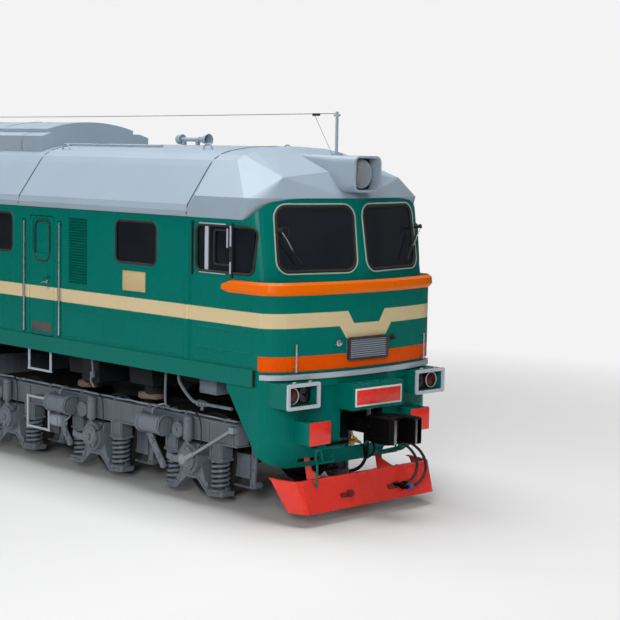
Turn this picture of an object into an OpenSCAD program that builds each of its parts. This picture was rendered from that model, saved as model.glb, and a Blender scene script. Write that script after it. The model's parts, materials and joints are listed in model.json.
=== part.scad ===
// Six-axle diesel locomotive with a driving cab at each end.
// Millimetres. +X points to the front cab, +Y to its left, +Z up.
// The origin is on the floor under the middle of the body, and the wheel
// flanges stand on it. Heights called *_h are measured above the rail top.

/* [Running gear] */
// Distance between the two bogie pivots
bogie_centres = 8600; // [8000:50:9200]
// Distance between neighbouring axles in a bogie
axle_pitch = 2100; // [2000:10:2250]
// Wheel diameter on the tread
wheel_d = 1050; // [950:10:1100]
// Depth of the flange below the tread
flange_h = 28; // [24:1:34]
// Distance between the backs of the wheels
wheel_back = 1440; // [1430:1:1445]
// Width of the wheel rim
rim_w = 140; // [125:1:150]
// Axle diameter between the wheels
axle_d = 210; // [180:5:230]
// Journal diameter in the axle boxes
journal_d = 160; // [140:5:180]
// Distance from the centre line to the middle of the springs
spring_y = 1055; // [1030:5:1080]
// Outside diameter of the suspension springs
spring_d = 250; // [200:5:270]

/* [Body] */
// Width over the side walls
body_w = 2900; // [2800:10:3000]
// Thickness of the walls
wall_t = 50; // [35:1:70]
// Thickness of the roof
roof_t = 40; // [30:1:60]
// How far the side sills stand out from the walls
sill_out = 25; // [10:1:40]
// Underside of the side sills
sill_low_h = 1640; // [1600:5:1660]
// Top of the side sills, where the walls start
sill_top_h = 1850; // [1830:5:1890]
// Eaves, where the roof sits on the side walls
eaves_h = 3650; // [3620:5:3750]
// Top of the roof on the centre line
roof_top_h = 4540; // [4480:10:4620]
// Distance from the middle to the joint between cab and body
cab_joint_x = 6620; // [6560:10:6680]
// Distance from the middle to the front of the nose
nose_x = 8370; // [8330:5:8420]

/* [Doors and windows] */
// Rear edge of the body door
door_x = 3120; // [3000:10:3200]
// Width of the body door
door_w = 580; // [540:5:620]
// Height of the body door
door_tall = 1660; // [1600:5:1680]
// Gap round a door
door_gap = 10; // [8:1:12]
// Underside of the side windows
window_low_h = 3000; // [2960:5:3040]
// Height of the side windows
window_tall = 535; // [480:5:560]

/* [Couplers] */
// Height of the coupler above the rail
coupler_h = 1100; // [1060:5:1120]
// Distance from the middle to the coupler hinge
coupler_hinge_x = 7760; // [7700:10:7800]
// Distance from the middle to the tip of the coupler
coupler_tip_x = 9100; // [9050:10:9200]

/* [Hidden] */
$fn = 48;

green = "#00695c";
grey = "#a9b6c2";
bogie_grey = "#8b949c";
orange = "#cf5400";
red = "#c8102e";
black = "#1b1c1f";
bright = "#c9ccd2";

// Half widths and frequently used heights
wall_y = body_w / 2;
sill_y = wall_y + sill_out;
floor_t = 60;
floor_top_h = sill_low_h + floor_t;
belt_h = 2900;
belt_half_h = 55;
brow_h = 3915;
axle_h = wheel_d / 2;
bogie_x = bogie_centres / 2;
fit_gap = 0.4;
hinge_gap = 0.3;
pane_gap = 0.5;
pane_t = 8;

module lift() translate([0, 0, flange_h]) children();
module both_ends() { children(); rotate([0, 0, 180]) children(); }
module both_sides() { children(); mirror([0, 1, 0]) children(); }
module mirror_ends() { children(); mirror([1, 0, 0]) children(); }

// Rounded rectangle centred on the origin
module rounded(w, h, r) {
  square([w - 2 * r, h], center = true);
  square([w, h - 2 * r], center = true);
  for (x = [-1, 1], y = [-1, 1])
    translate([x * (w / 2 - r), y * (h / 2 - r)]) circle(r);
}
// Box from low corner to high corner
module block(low, high) translate(low) cube(high - low);
// A flat outline in X and height, t thick in Y and centred on y
module side_plate(points, y, t)
  translate([0, y + t / 2, 0]) rotate([90, 0, 0]) linear_extrude(t) polygon(points);
// An opening that runs across a side wall, centred on x and height h
module wall_cut(x, h, w, tall, r, deep)
  translate([x, 0, h]) rotate([90, 0, 0])
    linear_extrude(deep, center = true) rounded(w, tall, r);
// A rod with flat ends from a to b
module rod(a, b, r) {
  v = b - a;
  len = norm(v);
  translate(a)
    rotate([0, acos(v[2] / len), atan2(v[1], v[0])]) cylinder(h = len, r = r);
}
// A tube that follows points, as one closed polyhedron
function unit(v) = v / norm(v);
function along(p, i) =
  unit(i == 0 ? p[1] - p[0] : i == len(p) - 1 ? p[i] - p[i - 1] : p[i + 1] - p[i - 1]);
function ring(c, t, side, r, n) =
  let (u = unit(cross(side, t)), v = cross(t, u))
    [for (k = [0:n - 1]) c + r * (cos(360 * k / n) * u + sin(360 * k / n) * v)];
module hose(p, r, side, n = 10) {
  rings = [for (i = [0:len(p) - 1]) each ring(p[i], along(p, i), side, r, n)];
  last = (len(p) - 1) * n;
  polyhedron(rings, concat(
    [[for (k = [n - 1:-1:0]) k]],
    [for (i = [0:len(p) - 2], k = [0:n - 1])
      [i * n + k, i * n + (k + 1) % n, (i + 1) * n + (k + 1) % n, (i + 1) * n + k]],
    [[for (k = [0:n - 1]) last + k]]));
}
// A smooth curve through control points, as a Bezier of any degree
function bezier_at(p, t) =
  len(p) == 1 ? p[0]
  : bezier_at([for (i = [0:len(p) - 2]) p[i] * (1 - t) + p[i + 1] * t], t);
function bezier(p, n) = [for (i = [0:n]) bezier_at(p, i / n)];

// ---------------------------------------------------------------- the cab
// Outline of a cab in plan: nose distance, sweep back at corner_y, the power
// of the sweep, where the corner starts and where the straight side starts.
corner_y = 1150;
bow_steps = 8;
function half_plan(nose, sweep, power, side_x, side_y) =
  let (bow = [for (i = [0:bow_steps])
         let (y = corner_y * i / bow_steps)
           [nose - sweep * pow(y / corner_y, power), y]],
       edge_x = nose - sweep,
       slope = sweep * power / corner_y,
       reach = side_y - corner_y,
       bend = bezier([[edge_x, corner_y],
                      [edge_x - slope * reach * 0.6, corner_y + reach * 0.6],
                      [side_x + (edge_x - side_x) * 0.35, side_y],
                      [side_x, side_y]], 8))
    concat(bow, [for (i = [1:8]) bend[i]]);
function full_plan(nose, sweep, power, side_x, side_y, back_x) =
  let (half = half_plan(nose, sweep, power, side_x, side_y), n = len(half))
    concat([[back_x, -side_y]],
           [for (i = [n - 1:-1:1]) [half[i][0], -half[i][1]]],
           half, [[back_x, side_y]]);
// The same line moved out by d all the way round
function outward(p, i) =
  let (t = unit(p[min(i + 1, len(p) - 1)] - p[max(i - 1, 0)])) [t[1], -t[0]];
function grown(p, d) = [for (i = [0:len(p) - 1]) p[i] + d * outward(p, i)];

lower_sweep = 130;
lower_side_x = nose_x - 390;
upper_nose_x = nose_x - 70;
upper_sweep = 215;
lean = 150; // how far the upper nose leans back at brow height
upper_side_x = nose_x - 520;
seam = 3;   // half the joint between neighbouring body sections

lower_line = full_plan(nose_x, lower_sweep, 2, lower_side_x, wall_y, cab_joint_x + seam);
function upper_line(back) =
  full_plan(upper_nose_x - back, upper_sweep, 1.25, upper_side_x - back, wall_y,
            cab_joint_x + seam);
module plan_slab(out, low, tall)
  translate([0, 0, low]) linear_extrude(tall) polygon(grown(lower_line, out));
module upper_slab(out, back, low)
  translate([0, 0, low]) linear_extrude(1) polygon(grown(upper_line(back), out));
module cab_volume(out) {
  plan_slab(out, sill_top_h - (out < 0 ? 1 : 0), belt_h - sill_top_h + 1);
  hull() {
    upper_slab(out, 0, belt_h);
    upper_slab(out, lean, brow_h - (out < 0 ? -1 : 1));
  }
}
// Everything above the line where the roof starts
roof_rise_x = 7690;
roof_front_x = 8030;
roof_ease = 160;
roof_rise = bezier([[roof_rise_x, eaves_h], [roof_rise_x + roof_ease, eaves_h],
                    [roof_front_x - roof_ease, brow_h], [roof_front_x, brow_h]], 8);
module above_eaves(low = 0, top = 1400)
  side_plate(concat([[cab_joint_x - 500, eaves_h + low]],
                    [for (p = roof_rise) [p[0], p[1] + low]],
                    [[nose_x + 200, brow_h + low], [nose_x + 200, eaves_h + top],
                     [cab_joint_x - 500, eaves_h + top]]),
             0, body_w + 400);

// Windscreens: one pane each side of the centre pillar
screen_w = 1090;
screen_tall = 770;
screen_r = 130;
screen_mid_y = 645;
screen_mid_h = 3425;
screen_turn = 11.5;
screen_lean = atan(lean / (brow_h - belt_h));
module at_screen(side)
  translate([upper_nose_x - lean * (screen_mid_h - belt_h) / (brow_h - belt_h) - 108,
             side * screen_mid_y, screen_mid_h])
    rotate([0, 0, side * screen_turn]) rotate([0, 90 - screen_lean, 0])
      rotate([0, 0, 90]) children();

cab_window_x = 7335;
cab_window_w = 1060;
window_mid_h = window_low_h + window_tall / 2;
window_r = 85;

module cab() color(green) difference() {
  cab_volume(0);
  cab_volume(-wall_t);
  above_eaves();
  for (side = [-1, 1]) at_screen(side)
    linear_extrude(400, center = true) rounded(screen_w, screen_tall, screen_r);
  wall_cut(cab_window_x, window_mid_h + 10, cab_window_w, window_tall + 20,
           window_r, body_w + 100);
  block([cab_joint_x - 10, -wall_y - 10, sill_top_h - 10],
        [cab_joint_x + seam, wall_y + 10, brow_h + 10]);
}

module windscreens() color("#20242a", 0.5) both_ends() for (side = [-1, 1])
  at_screen(side) translate([0, 0, -pane_t - 14]) linear_extrude(pane_t)
    rounded(screen_w - 2 * pane_gap, screen_tall - 2 * pane_gap,
            screen_r - pane_gap);

// ---------------------------------------------------------------- the roof
// Half cross-section of the roof from eaves to ridge: distance out and height
eaves_lip = 70;
ridge = roof_top_h;
function half_roof(t) = [
  [wall_y + sill_out - t, eaves_h + eaves_lip], [wall_y - t, eaves_h + 150 - t * 0.2],
  [wall_y - 340 - t, ridge - 270 - t * 0.4], [wall_y - 410 - t * 0.8, ridge - 185 - t * 0.7],
  [wall_y - 520 - t * 0.5, ridge - 115 - t * 0.9], [wall_y - 700, ridge - 65 - t],
  [wall_y - 1000, ridge - 20 - t], [0, ridge - t]];
function roof_outline(t, low) =
  let (h = half_roof(t), n = len(h))
    concat([[h[0][0], low]], h, [for (i = [n - 2:-1:0]) [-h[i][0], h[i][1]]],
           [[-h[0][0], low]]);
module roof_span(x0, x1, t, low)
  translate([x0, 0, 0]) rotate([90, 0, 90]) linear_extrude(x1 - x0)
    polygon(roof_outline(t, low));
module roof_shell(x0, x1) difference() {
  roof_span(x0, x1, 0, eaves_h);
  roof_span(x0 - 1, x1 + 1, roof_t, eaves_h - 1);
}

// The cab roof dips towards the nose. Stations: distance, then half width and
// height of its shoulder, and height of its ridge.
hip_x = 7080;      // where the ridge starts to fall
brow_x = 7890;     // where the front slope starts
brow_half = 1010;
brow_shoulder_h = 4165;
brow_ridge_h = 4260;
module thin_plan(inset, h)
  translate([0, 0, h]) linear_extrude(1)
    polygon(full_plan(upper_nose_x - lean + 25 - inset, upper_sweep, 1.25,
                      upper_side_x - lean - inset, wall_y + sill_out - inset,
                      hip_x - 300));
module cab_roof_volume(t) {
  hull() {
    roof_span(cab_joint_x + seam - (t > 0 ? 2 : 0), hip_x, t, eaves_h);
    thin_plan(t, brow_h - (t > 0 ? 60 : 0));
    translate([brow_x - t, 0, 0]) rotate([90, 0, -90]) linear_extrude(1)
      polygon([[-brow_half + t, brow_shoulder_h - t], [0, brow_ridge_h - t],
               [brow_half - t, brow_shoulder_h - t]]);
    translate([brow_x - 210, 0, eaves_h - (t > 0 ? 1 : 0)])
      cube([1, 2 * (wall_y + sill_out - t), 1], center = true);
  }
}
module cab_roof() color(grey) difference() {
  cab_roof_volume(0);
  cab_roof_volume(roof_t);
  difference() {
    block([cab_joint_x - 100, -wall_y - 200, eaves_h - 400],
          [nose_x + 300, wall_y + 200, brow_h + 400]);
    above_eaves();
  }
}

roof_joint_x = 2860;
hatch_x = 2690;
hatch_half = 960;
hatch_low_h = 4380;
hatch_top_h = 4635;
hatch_gap_x = 2175;
fan_x = -3800;
fan_open = 1500;
module roof_sections() color(grey) {
  roof_shell(roof_joint_x + seam, cab_joint_x - seam);
  difference() {
    roof_shell(-roof_joint_x + seam, roof_joint_x - seam);
    block([-hatch_x + 150, -hatch_half + 150, hatch_low_h - 300],
          [hatch_x - 150, hatch_half - 150, ridge + 100]);
  }
  difference() {
    roof_shell(-cab_joint_x + seam, -roof_joint_x - seam);
    block([fan_x - fan_open / 2, -fan_open / 2, hatch_low_h],
          [fan_x + fan_open / 2, fan_open / 2, ridge + 100]);
  }
}

// The raised hatch over the engine: two low end boxes and a long arched lid
arch_half = 770;
arch_x = 2560;
arch_low_h = 4740;
arch_top_h = 4850;
arch_r = (arch_half * arch_half + pow(arch_top_h - arch_low_h, 2))
         / (2 * (arch_top_h - arch_low_h));
module hatch_box(x0, x1) difference() {
  translate([x0, 0, 0]) rotate([90, 0, 90]) linear_extrude(x1 - x0)
    polygon([[-hatch_half, hatch_low_h], [hatch_half, hatch_low_h],
             [hatch_half, hatch_top_h], [arch_half + 20, hatch_top_h + 50],
             [-arch_half - 20, hatch_top_h + 50], [-hatch_half, hatch_top_h]]);
  roof_span(x0 - 1, x1 + 1, -0.2, hatch_low_h - 1500);
}
module roof_hatch() color(grey) {
  for (x = [[-hatch_x, -hatch_gap_x - 15], [-hatch_gap_x + 15, hatch_gap_x - 15],
            [hatch_gap_x + 15, hatch_x]]) hatch_box(x[0], x[1]);
  intersection() {
    translate([-arch_x, 0, arch_top_h - arch_r]) rotate([0, 90, 0])
      cylinder(h = 2 * arch_x, r = arch_r, $fn = 160);
    block([-arch_x, -arch_half, hatch_top_h + 50], [arch_x, arch_half, arch_top_h + 1]);
  }
}
// Slatted shutters over the cooling fan
slat_count = 12;
shutter_low_h = ridge - 120;
module cooling_shutters() color(bogie_grey) {
  difference() {
    block([fan_x - fan_open / 2, -fan_open / 2, shutter_low_h],
          [fan_x + fan_open / 2, fan_open / 2, ridge + 35]);
    block([fan_x - fan_open / 2 + 50, -fan_open / 2 + 50, shutter_low_h - 1],
          [fan_x + fan_open / 2 - 50, fan_open / 2 - 50, ridge + 36]);
  }
  for (i = [0:slat_count - 1])
    translate([fan_x - fan_open / 2 + 50 + (i + 0.5) * (fan_open - 100) / slat_count,
               0, ridge - 20])
      rotate([0, 35, 0]) cube([100, fan_open - 100, 5], center = true);
}

// ---------------------------------------------------------------- side walls
door_low_h = sill_top_h + 20;
door_mid_x = door_x + door_w / 2;
door_win_w = 450;
door_win_tall = 500;
door_r = 60;
louvre_x = 4270;
louvre_w = 460;
louvre_low_h = 2610;
louvre_tall = 930;
big_louvre_x = 5200;
big_louvre_w = 2050;
side_window_w = 855;
end_window_x = 5560;
inner_windows = [2250, 620];
// Hinge line of a body door, inside the wall
door_hinge_x = door_x - door_gap / 2;
door_hinge_y = -wall_y + wall_t + 20;
door_hinge_hs = [2150, 3280];
knuckle_r = 15;
hinge_pin_r = 8;
module door_lug(h) {
  translate([door_hinge_x, door_hinge_y, h - 45]) cylinder(h = 15, r = knuckle_r);
  translate([door_hinge_x, door_hinge_y, h - 45]) cylinder(h = 75, r = hinge_pin_r);
  block([door_hinge_x - 60, -wall_y + wall_t - 1, h - 45],
        [door_hinge_x, door_hinge_y + 12, h - 30]);
}
module door_knuckle(h) difference() {
  union() {
    translate([door_hinge_x, door_hinge_y, h - 29.7]) cylinder(h = 60, r = knuckle_r);
    block([door_hinge_x, -wall_y + wall_t, h - 29.7],
          [door_hinge_x + 60, door_hinge_y, h + 30.3]);
  }
  translate([door_hinge_x, door_hinge_y, h - 40])
    cylinder(h = 80, r = hinge_pin_r + hinge_gap);
  block([door_hinge_x - 20, -wall_y + wall_t - 1, h - 40],
        [door_hinge_x + door_gap / 2 - 2, door_hinge_y - knuckle_r + 4, h + 40]);
}
// Grooves in the wall beside the door, where the grab rails stand half sunk
groove_w = 110;
groove_deep = 34;
groove_low_h = 1875;
groove_top_h = 3470;
rail_xs = [door_x - 140, door_x + door_w + 140];
module rail_grooves() for (s = [-1, 1], x = rail_xs)
  block([s * x - groove_w / 2, -wall_y - 1, groove_low_h],
        [s * x + groove_w / 2, -wall_y + groove_deep, groove_top_h]);
module side_wall() {
  for (m = [0, 1], h = door_hinge_hs) mirror([m, 0, 0]) door_lug(h);
  wall_sheet();
}
module wall_sheet() difference() {
  block([-cab_joint_x + seam, -wall_y, sill_top_h],
        [cab_joint_x - seam, -wall_y + wall_t, eaves_h]);
  wall_cut(end_window_x, window_mid_h, side_window_w, window_tall, window_r, 2 * wall_y + 100);
  for (x = inner_windows, s = [-1, 1])
    wall_cut(s * x, window_mid_h, side_window_w, window_tall, window_r, 2 * wall_y + 100);
  for (s = [-1, 1])
    wall_cut(s * door_mid_x, door_low_h + door_tall / 2 - door_gap,
             door_w + 2 * door_gap, door_tall + 2 * door_gap, door_r, 2 * wall_y + 100);
  wall_cut(louvre_x, louvre_low_h + louvre_tall / 2, louvre_w, louvre_tall, 15,
           2 * wall_y + 100);
  wall_cut(-big_louvre_x, louvre_low_h + louvre_tall / 2, big_louvre_w, louvre_tall, 15,
           2 * wall_y + 100);
  rail_grooves();
}
module side_walls() color(green) both_sides() side_wall();

module side_pane(x, w, tall)
  translate([x, -wall_y + 14 + pane_t / 2, window_mid_h]) rotate([90, 0, 0])
    linear_extrude(pane_t, center = true)
      rounded(w - 2 * pane_gap, tall - 2 * pane_gap, window_r - pane_gap);
module side_windows() color("#20242a", 0.5) both_sides() {
  side_pane(end_window_x, side_window_w, window_tall);
  for (x = inner_windows, s = [-1, 1]) side_pane(s * x, side_window_w, window_tall);
  for (s = [-1, 1]) translate([0, 0, 10])
    side_pane(s * cab_window_x, cab_window_w, window_tall + 20);
}

louvre_pitch = 37;
module louvre(x, w) {
  translate([x, -wall_y + wall_t / 2, louvre_low_h + louvre_tall / 2]) rotate([90, 0, 0])
    linear_extrude(wall_t - 10, center = true) difference() {
      rounded(w - 1, louvre_tall - 1, 15);
      square([w - 40, louvre_tall - 40], center = true);
    }
  for (i = [0:floor((louvre_tall - 60) / louvre_pitch)])
    translate([x, -wall_y + wall_t / 2 - 4, louvre_low_h + 36 + i * louvre_pitch])
      rotate([40, 0, 0]) cube([w - 40, 44, 3], center = true);
}
module side_louvres() color(green) both_sides() {
  louvre(louvre_x, louvre_w);
  louvre(-big_louvre_x, big_louvre_w);
}

// A body door, hinged on its inner face at its edge nearer the middle
module door_leaf() {
  color(green) difference() {
    translate([door_mid_x, -wall_y + wall_t / 2, door_low_h + door_tall / 2 - door_gap])
      rotate([90, 0, 0]) linear_extrude(wall_t, center = true)
        rounded(door_w, door_tall, door_r);
    wall_cut(door_mid_x, window_low_h + 5 + door_win_tall / 2, door_win_w, door_win_tall,
             window_r, 2 * wall_y + 100);
  }
  color("#20242a", 0.5)
    translate([door_mid_x, -wall_y + 14 + pane_t / 2, window_low_h + 5 + door_win_tall / 2])
      rotate([90, 0, 0]) linear_extrude(pane_t, center = true)
        rounded(door_win_w - 2 * pane_gap, door_win_tall - 2 * pane_gap,
                window_r - pane_gap);
  color(bright) {
    for (h = door_hinge_hs) door_knuckle(h);
    rod([door_mid_x + 190, -wall_y - 45, 2690], [door_mid_x + 190, -wall_y, 2690], 11);
    rod([door_mid_x + 70, -wall_y - 45, 2685], [door_mid_x + 201, -wall_y - 45, 2695], 11);
  }
}

module bulkheads() color(bright) both_ends() difference() {
  block([cab_joint_x - 60, -wall_y + wall_t, floor_top_h],
        [cab_joint_x - seam, wall_y - wall_t, eaves_h - 5]);
  block([cab_joint_x - 70, -320, floor_top_h + 30], [cab_joint_x + 10, 320, 3500]);
}

// ---------------------------------------------------------------- underframe
sill_end_x = 7900;
bolster_low_h = 1290;
post_r = 150;
socket_low_h = 900;
opening_half = 330;
hinge_r = 45;
module underframe() color(green) {
  floor_y = wall_y - wall_t - hinge_gap;
  beam_top = sill_low_h - hinge_gap;
  pocket_x = coupler_hinge_x - 200;
  block([-sill_end_x, -floor_y, sill_low_h], [sill_end_x, floor_y, floor_top_h]);
  both_sides() {
    block([-sill_end_x, -sill_y, sill_low_h], [sill_end_x, -wall_y + wall_t, sill_top_h]);
    block([-bogie_x + 200 + hinge_gap, 280, bolster_low_h + 40],
          [bogie_x - 200 - hinge_gap, 340, beam_top]);
  }
  mirror_ends() {
    both_sides() block([bogie_x + 200 + hinge_gap, 280, bolster_low_h + 40],
                       [pocket_x - hinge_gap, 340, beam_top]);
    block([bogie_x - 200, -1250, bolster_low_h], [bogie_x + 200, 1250, beam_top]);
    block([pocket_x, -340, bolster_low_h], [coupler_hinge_x + 300, 340, beam_top]);
    both_sides() block([pocket_x, 260, 960],
                       [coupler_hinge_x + 300, 340, bolster_low_h - hinge_gap]);
    translate([bogie_x, 0, socket_low_h + 1])
      cylinder(h = bolster_low_h - socket_low_h - 1 - hinge_gap, r = post_r);
    translate([coupler_hinge_x, 0, coupler_h - 100])
      cylinder(h = bolster_low_h - coupler_h + 100 - hinge_gap, r = hinge_r);
  }
}

// The nose skirt: a bowed front plate and two raking cheeks below the sills,
// with a boxed ledge on top that carries the nose of the cab
apron_t = 20;
apron_low_h = 620;
apron_bend_h = 940;
apron_rake = 170;
apron_back_x = 7380;
apron_nose_x = nose_x - 70;
ledge_back_x = sill_end_x + 1;
function apron_line(back) =
  full_plan(apron_nose_x - back, lower_sweep - 20, 2, apron_nose_x - 330 - back,
            sill_y - 45, apron_back_x - 300);
ledge_line = full_plan(nose_x - 30, lower_sweep, 2, lower_side_x - 20, sill_y - 45,
                       ledge_back_x);
module apron_front(out)
  translate([0, 0, apron_bend_h - 1]) linear_extrude(sill_low_h - apron_bend_h + 1)
    polygon(grown(apron_line(0), out));
module apron_rake(out) hull() {
  translate([0, 0, apron_low_h - (out < 0 ? 1 : 0)]) linear_extrude(1)
    polygon(grown(apron_line(apron_rake), out));
  translate([0, 0, apron_bend_h - 1]) linear_extrude(1) polygon(grown(apron_line(0), out));
}
module nose_block(gap) {
  apron_front(gap);
  translate([0, 0, sill_low_h - gap]) linear_extrude(sill_top_h - sill_low_h)
    polygon(grown(ledge_line, gap));
}
step_slots = [-730, 730];
module apron() color(green) difference() {
  union() {
    apron_front(0);
    apron_rake(0);
    translate([0, 0, sill_low_h]) linear_extrude(sill_top_h - sill_low_h)
      polygon(ledge_line);
  }
  apron_front(-apron_t);
  apron_rake(-apron_t);
  translate([0, 0, sill_low_h - 1]) linear_extrude(sill_top_h - sill_low_h - 19)
    polygon(concat(grown(ledge_line, -apron_t)));
  side_plate([[apron_back_x - 400, sill_low_h - 0], [apron_back_x - 400, 500],
              [8040, 500], [8040, apron_low_h + 40], [apron_back_x + 60, 1500],
              [apron_back_x, 1560], [apron_back_x, sill_low_h - 0]], 0, body_w + 400);
  block([apron_back_x, -opening_half, 830], [nose_x + 100, opening_half, 1370]);
  for (y = step_slots) block([7900, y - 170, 690], [nose_x + 100, y + 170, 740]);
}

// ---------------------------------------------------------------- nose fittings
belt_mid_h = belt_h - 65;
module belt_slab(out, h)
  translate([0, 0, h]) linear_extrude(1) polygon(grown(lower_line, out));
module belt_moulding() color(orange) difference() {
  hull() {
    belt_slab(16, belt_mid_h - 75);
    belt_slab(50, belt_mid_h - 30);
    belt_slab(42, belt_mid_h + 50);
    belt_slab(2, belt_mid_h + 80);
  }
  plan_slab(0.4, belt_mid_h - 200, 400);
  side_plate([[6000, belt_mid_h + 200], [6000, belt_mid_h - 200], [7820, belt_mid_h - 200],
              [7335, belt_mid_h - 45], [7335, belt_mid_h + 20], [7820, belt_mid_h + 200]],
             0, body_w + 400);
}
strip_h = 1743;
strip_tall = 62;
strip_out = 48;
module nose_strip() color(bright) translate([0, 0, strip_h]) linear_extrude(strip_tall)
  difference() {
    polygon(grown(ledge_line, strip_out));
    polygon(grown(ledge_line, 0.4));
    translate([7000, 0]) square([2 * (8020 - 7000), body_w + 400], center = true);
  }
grille_w = 680;
grille_low_h = 1945;
grille_tall = 265;
module nose_grille() color(bogie_grey) difference() {
  block([nose_x - 15, -grille_w / 2, grille_low_h],
        [nose_x + 22, grille_w / 2, grille_low_h + grille_tall]);
  plan_slab(0.4, grille_low_h - 10, grille_tall + 20);
  for (i = [0:8])
    block([nose_x + 10, -grille_w / 2 + 15, grille_low_h + 17 + i * 26.5],
          [nose_x + 40, grille_w / 2 - 15, grille_low_h + 33 + i * 26.5]);
}

lamp_x = 8445;
lamp_y = 1112;
lamp_w = 535;
lamp_low_h = 1410;
lamp_tall = 315;
lamp_frame = 42;
module lamp_box(side) translate([0, side * lamp_y, lamp_low_h]) difference() {
  block([8050, -lamp_w / 2 + 10, 8], [lamp_x - 25, lamp_w / 2 - 10, lamp_tall - 8]);
  block([lamp_x - 160, -lamp_w / 2 + lamp_frame, lamp_frame],
        [lamp_x + 1, lamp_w / 2 - lamp_frame, lamp_tall - lamp_frame]);
  translate([0, -side * lamp_y, -lamp_low_h]) nose_block(0.4);
}
module lamp_bezel(side) translate([lamp_x - 25, side * lamp_y, lamp_low_h + lamp_tall / 2])
  rotate([90, 0, 90]) linear_extrude(25) difference() {
    rounded(lamp_w, lamp_tall, 25);
    rounded(lamp_w - 2 * lamp_frame, lamp_tall - 2 * lamp_frame, 8);
  }
module marker_lamps() both_ends() for (side = [-1, 1]) {
  color(green) lamp_box(side);
  color(bright) lamp_bezel(side);
}
box_x = 8590;
box_half = 445;
module number_box() color(green) difference() {
  block([8150, -box_half, 1345], [box_x, box_half, 1662]);
  nose_block(0.4);
}
stub_x = 8490;
module buffer_stubs() both_ends() for (side = [-1, 1]) {
  color(green) difference() {
    block([8100, side * 880 - 172, 960], [stub_x - 12, side * 880 + 172, 1240]);
    apron_front(0.4);
  }
  color(red) block([stub_x - 12, side * 880 - 172, 960], [stub_x, side * 880 + 172, 1240]);
}

// Snow plough: a raked blade with swept ends on two brackets
plough_low_h = 140;
plough_top_h = 520;
plough_t = 14;
function blade(front, out, reach) = concat(
  [[front - reach, -1235 - out], [front - reach * 0.45, -1215 - out], [front - 30, -1170 - out]],
  [[front, -1090], [front, 1090]],
  [[front - 30, 1170 + out], [front - reach * 0.45, 1215 + out], [front - reach, 1235 + out]]);
blade_foot_x = 8545;
blade_head_x = 8400;
foot_reach = 270;
head_reach = 420;
foot_in = 40;
module blade_slab(front, h, out, reach) translate([0, 0, h]) linear_extrude(1)
  polygon(concat(blade(front, out, reach), [[front - reach - 1, 0]]));
// Everything behind the front face of the blade
module blade_front(out) hull() {
  blade_slab(blade_foot_x + out, plough_low_h, out - foot_in, foot_reach);
  blade_slab(blade_head_x + out, plough_top_h - 1, out, head_reach);
}
function blade_x(h) =
  blade_foot_x - plough_t + (blade_head_x - blade_foot_x) * (h - plough_low_h)
                            / (plough_top_h - plough_low_h);
module snow_plough() color(red) {
  difference() {
    blade_front(0);
    hull() {
      blade_slab(blade_foot_x - plough_t, plough_low_h - 1, -foot_in - plough_t, foot_reach + 10);
      blade_slab(blade_head_x - plough_t, plough_top_h, -plough_t, head_reach + 10);
    }
  }
  both_sides()
    side_plate([[7800, sill_low_h], [7880, sill_low_h], [8040, 700], [8070, 560],
                [blade_x(440) + 5, 440], [blade_x(200) + 5, 200], [8360, 200],
                [8000, 430], [7940, 700]], 620, 24);
}

// Headlight housing in the middle of the brow
light_x = 8335;
light_w = 470;
light_low_h = 3990;
light_top_h = 4440;
light_mid_h = (light_low_h + light_top_h) / 2;
module headlight() color(grey) difference() {
  union() {
    translate([light_x - 320, 0, light_mid_h]) rotate([90, 0, 90])
      linear_extrude(320) rounded(light_w, light_top_h - light_low_h, 90);
    hull() {
      translate([light_x - 320, 0, light_mid_h]) rotate([90, 0, 90])
        linear_extrude(2) rounded(light_w, light_top_h - light_low_h, 90);
      block([7000, -light_w / 2, 4420], [7002, light_w / 2, light_top_h + 10]);
    }
  }
  cab_roof_volume(-0.4);
  cab_volume(0.4);
  translate([light_x - 190, 0, light_mid_h]) rotate([90, 0, 90])
    linear_extrude(400) rounded(light_w - 60, light_top_h - light_low_h - 60, 65);
}
lens_r = 150;
module headlight_lens() color(bright)
  translate([light_x - 190 - 0, 0, light_mid_h]) rotate([0, 90, 0]) cylinder(h = 60, r = lens_r);

horn_x = 4680;
module horn(y) color(grey) translate([horn_x, y, ridge + 75]) {
  rotate([0, 90, 0]) cylinder(h = 420, r1 = 26, r2 = 30);
  translate([420, 0, 0]) rotate([0, 90, 0]) difference() {
    cylinder(h = 170, r1 = 30, r2 = 78);
    translate([0, 0, 8]) cylinder(h = 171, r1 = 22, r2 = 72);
  }
  rotate([0, 90, 0]) translate([0, 0, -60]) cylinder(h = 70, r = 62);
  block([40, -20, -75 - 40], [90, 20, -20]);
  block([330, -20, -75 - 40], [380, 20, -20]);
}
module horns() difference() {
  both_ends() horn(0);
  color(grey) roof_span(-cab_joint_x, cab_joint_x, -0.2, eaves_h);
}

mast_x = 7770;
mast_top_h = 4985;
mast_foot_h = 4380;
module antenna_masts() color(grey) both_ends() difference() {
  union() {
    translate([mast_x, 0, mast_foot_h]) cylinder(h = mast_top_h - mast_foot_h, r = 19);
    translate([mast_x, 0, mast_foot_h]) cylinder(h = 4456 - mast_foot_h, r = 75);
    translate([mast_x - 50, 0, mast_top_h - 45]) rotate([0, 90, 0]) cylinder(h = 100, r = 14);
  }
  cab_roof_volume(-0.3);
  headlight_solid(-0.3);
}
// The outer shape of the headlight housing, so that the mast foot sits on it
module headlight_solid(gap) hull() {
  translate([light_x - 322, 0, light_mid_h]) rotate([90, 0, 90])
    linear_extrude(2) rounded(light_w - 2 * gap, light_top_h - light_low_h - 2 * gap, 90);
  block([7000, -light_w / 2 + gap, 4420], [7002, light_w / 2 - gap, light_top_h + 10 - gap]);
}

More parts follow.
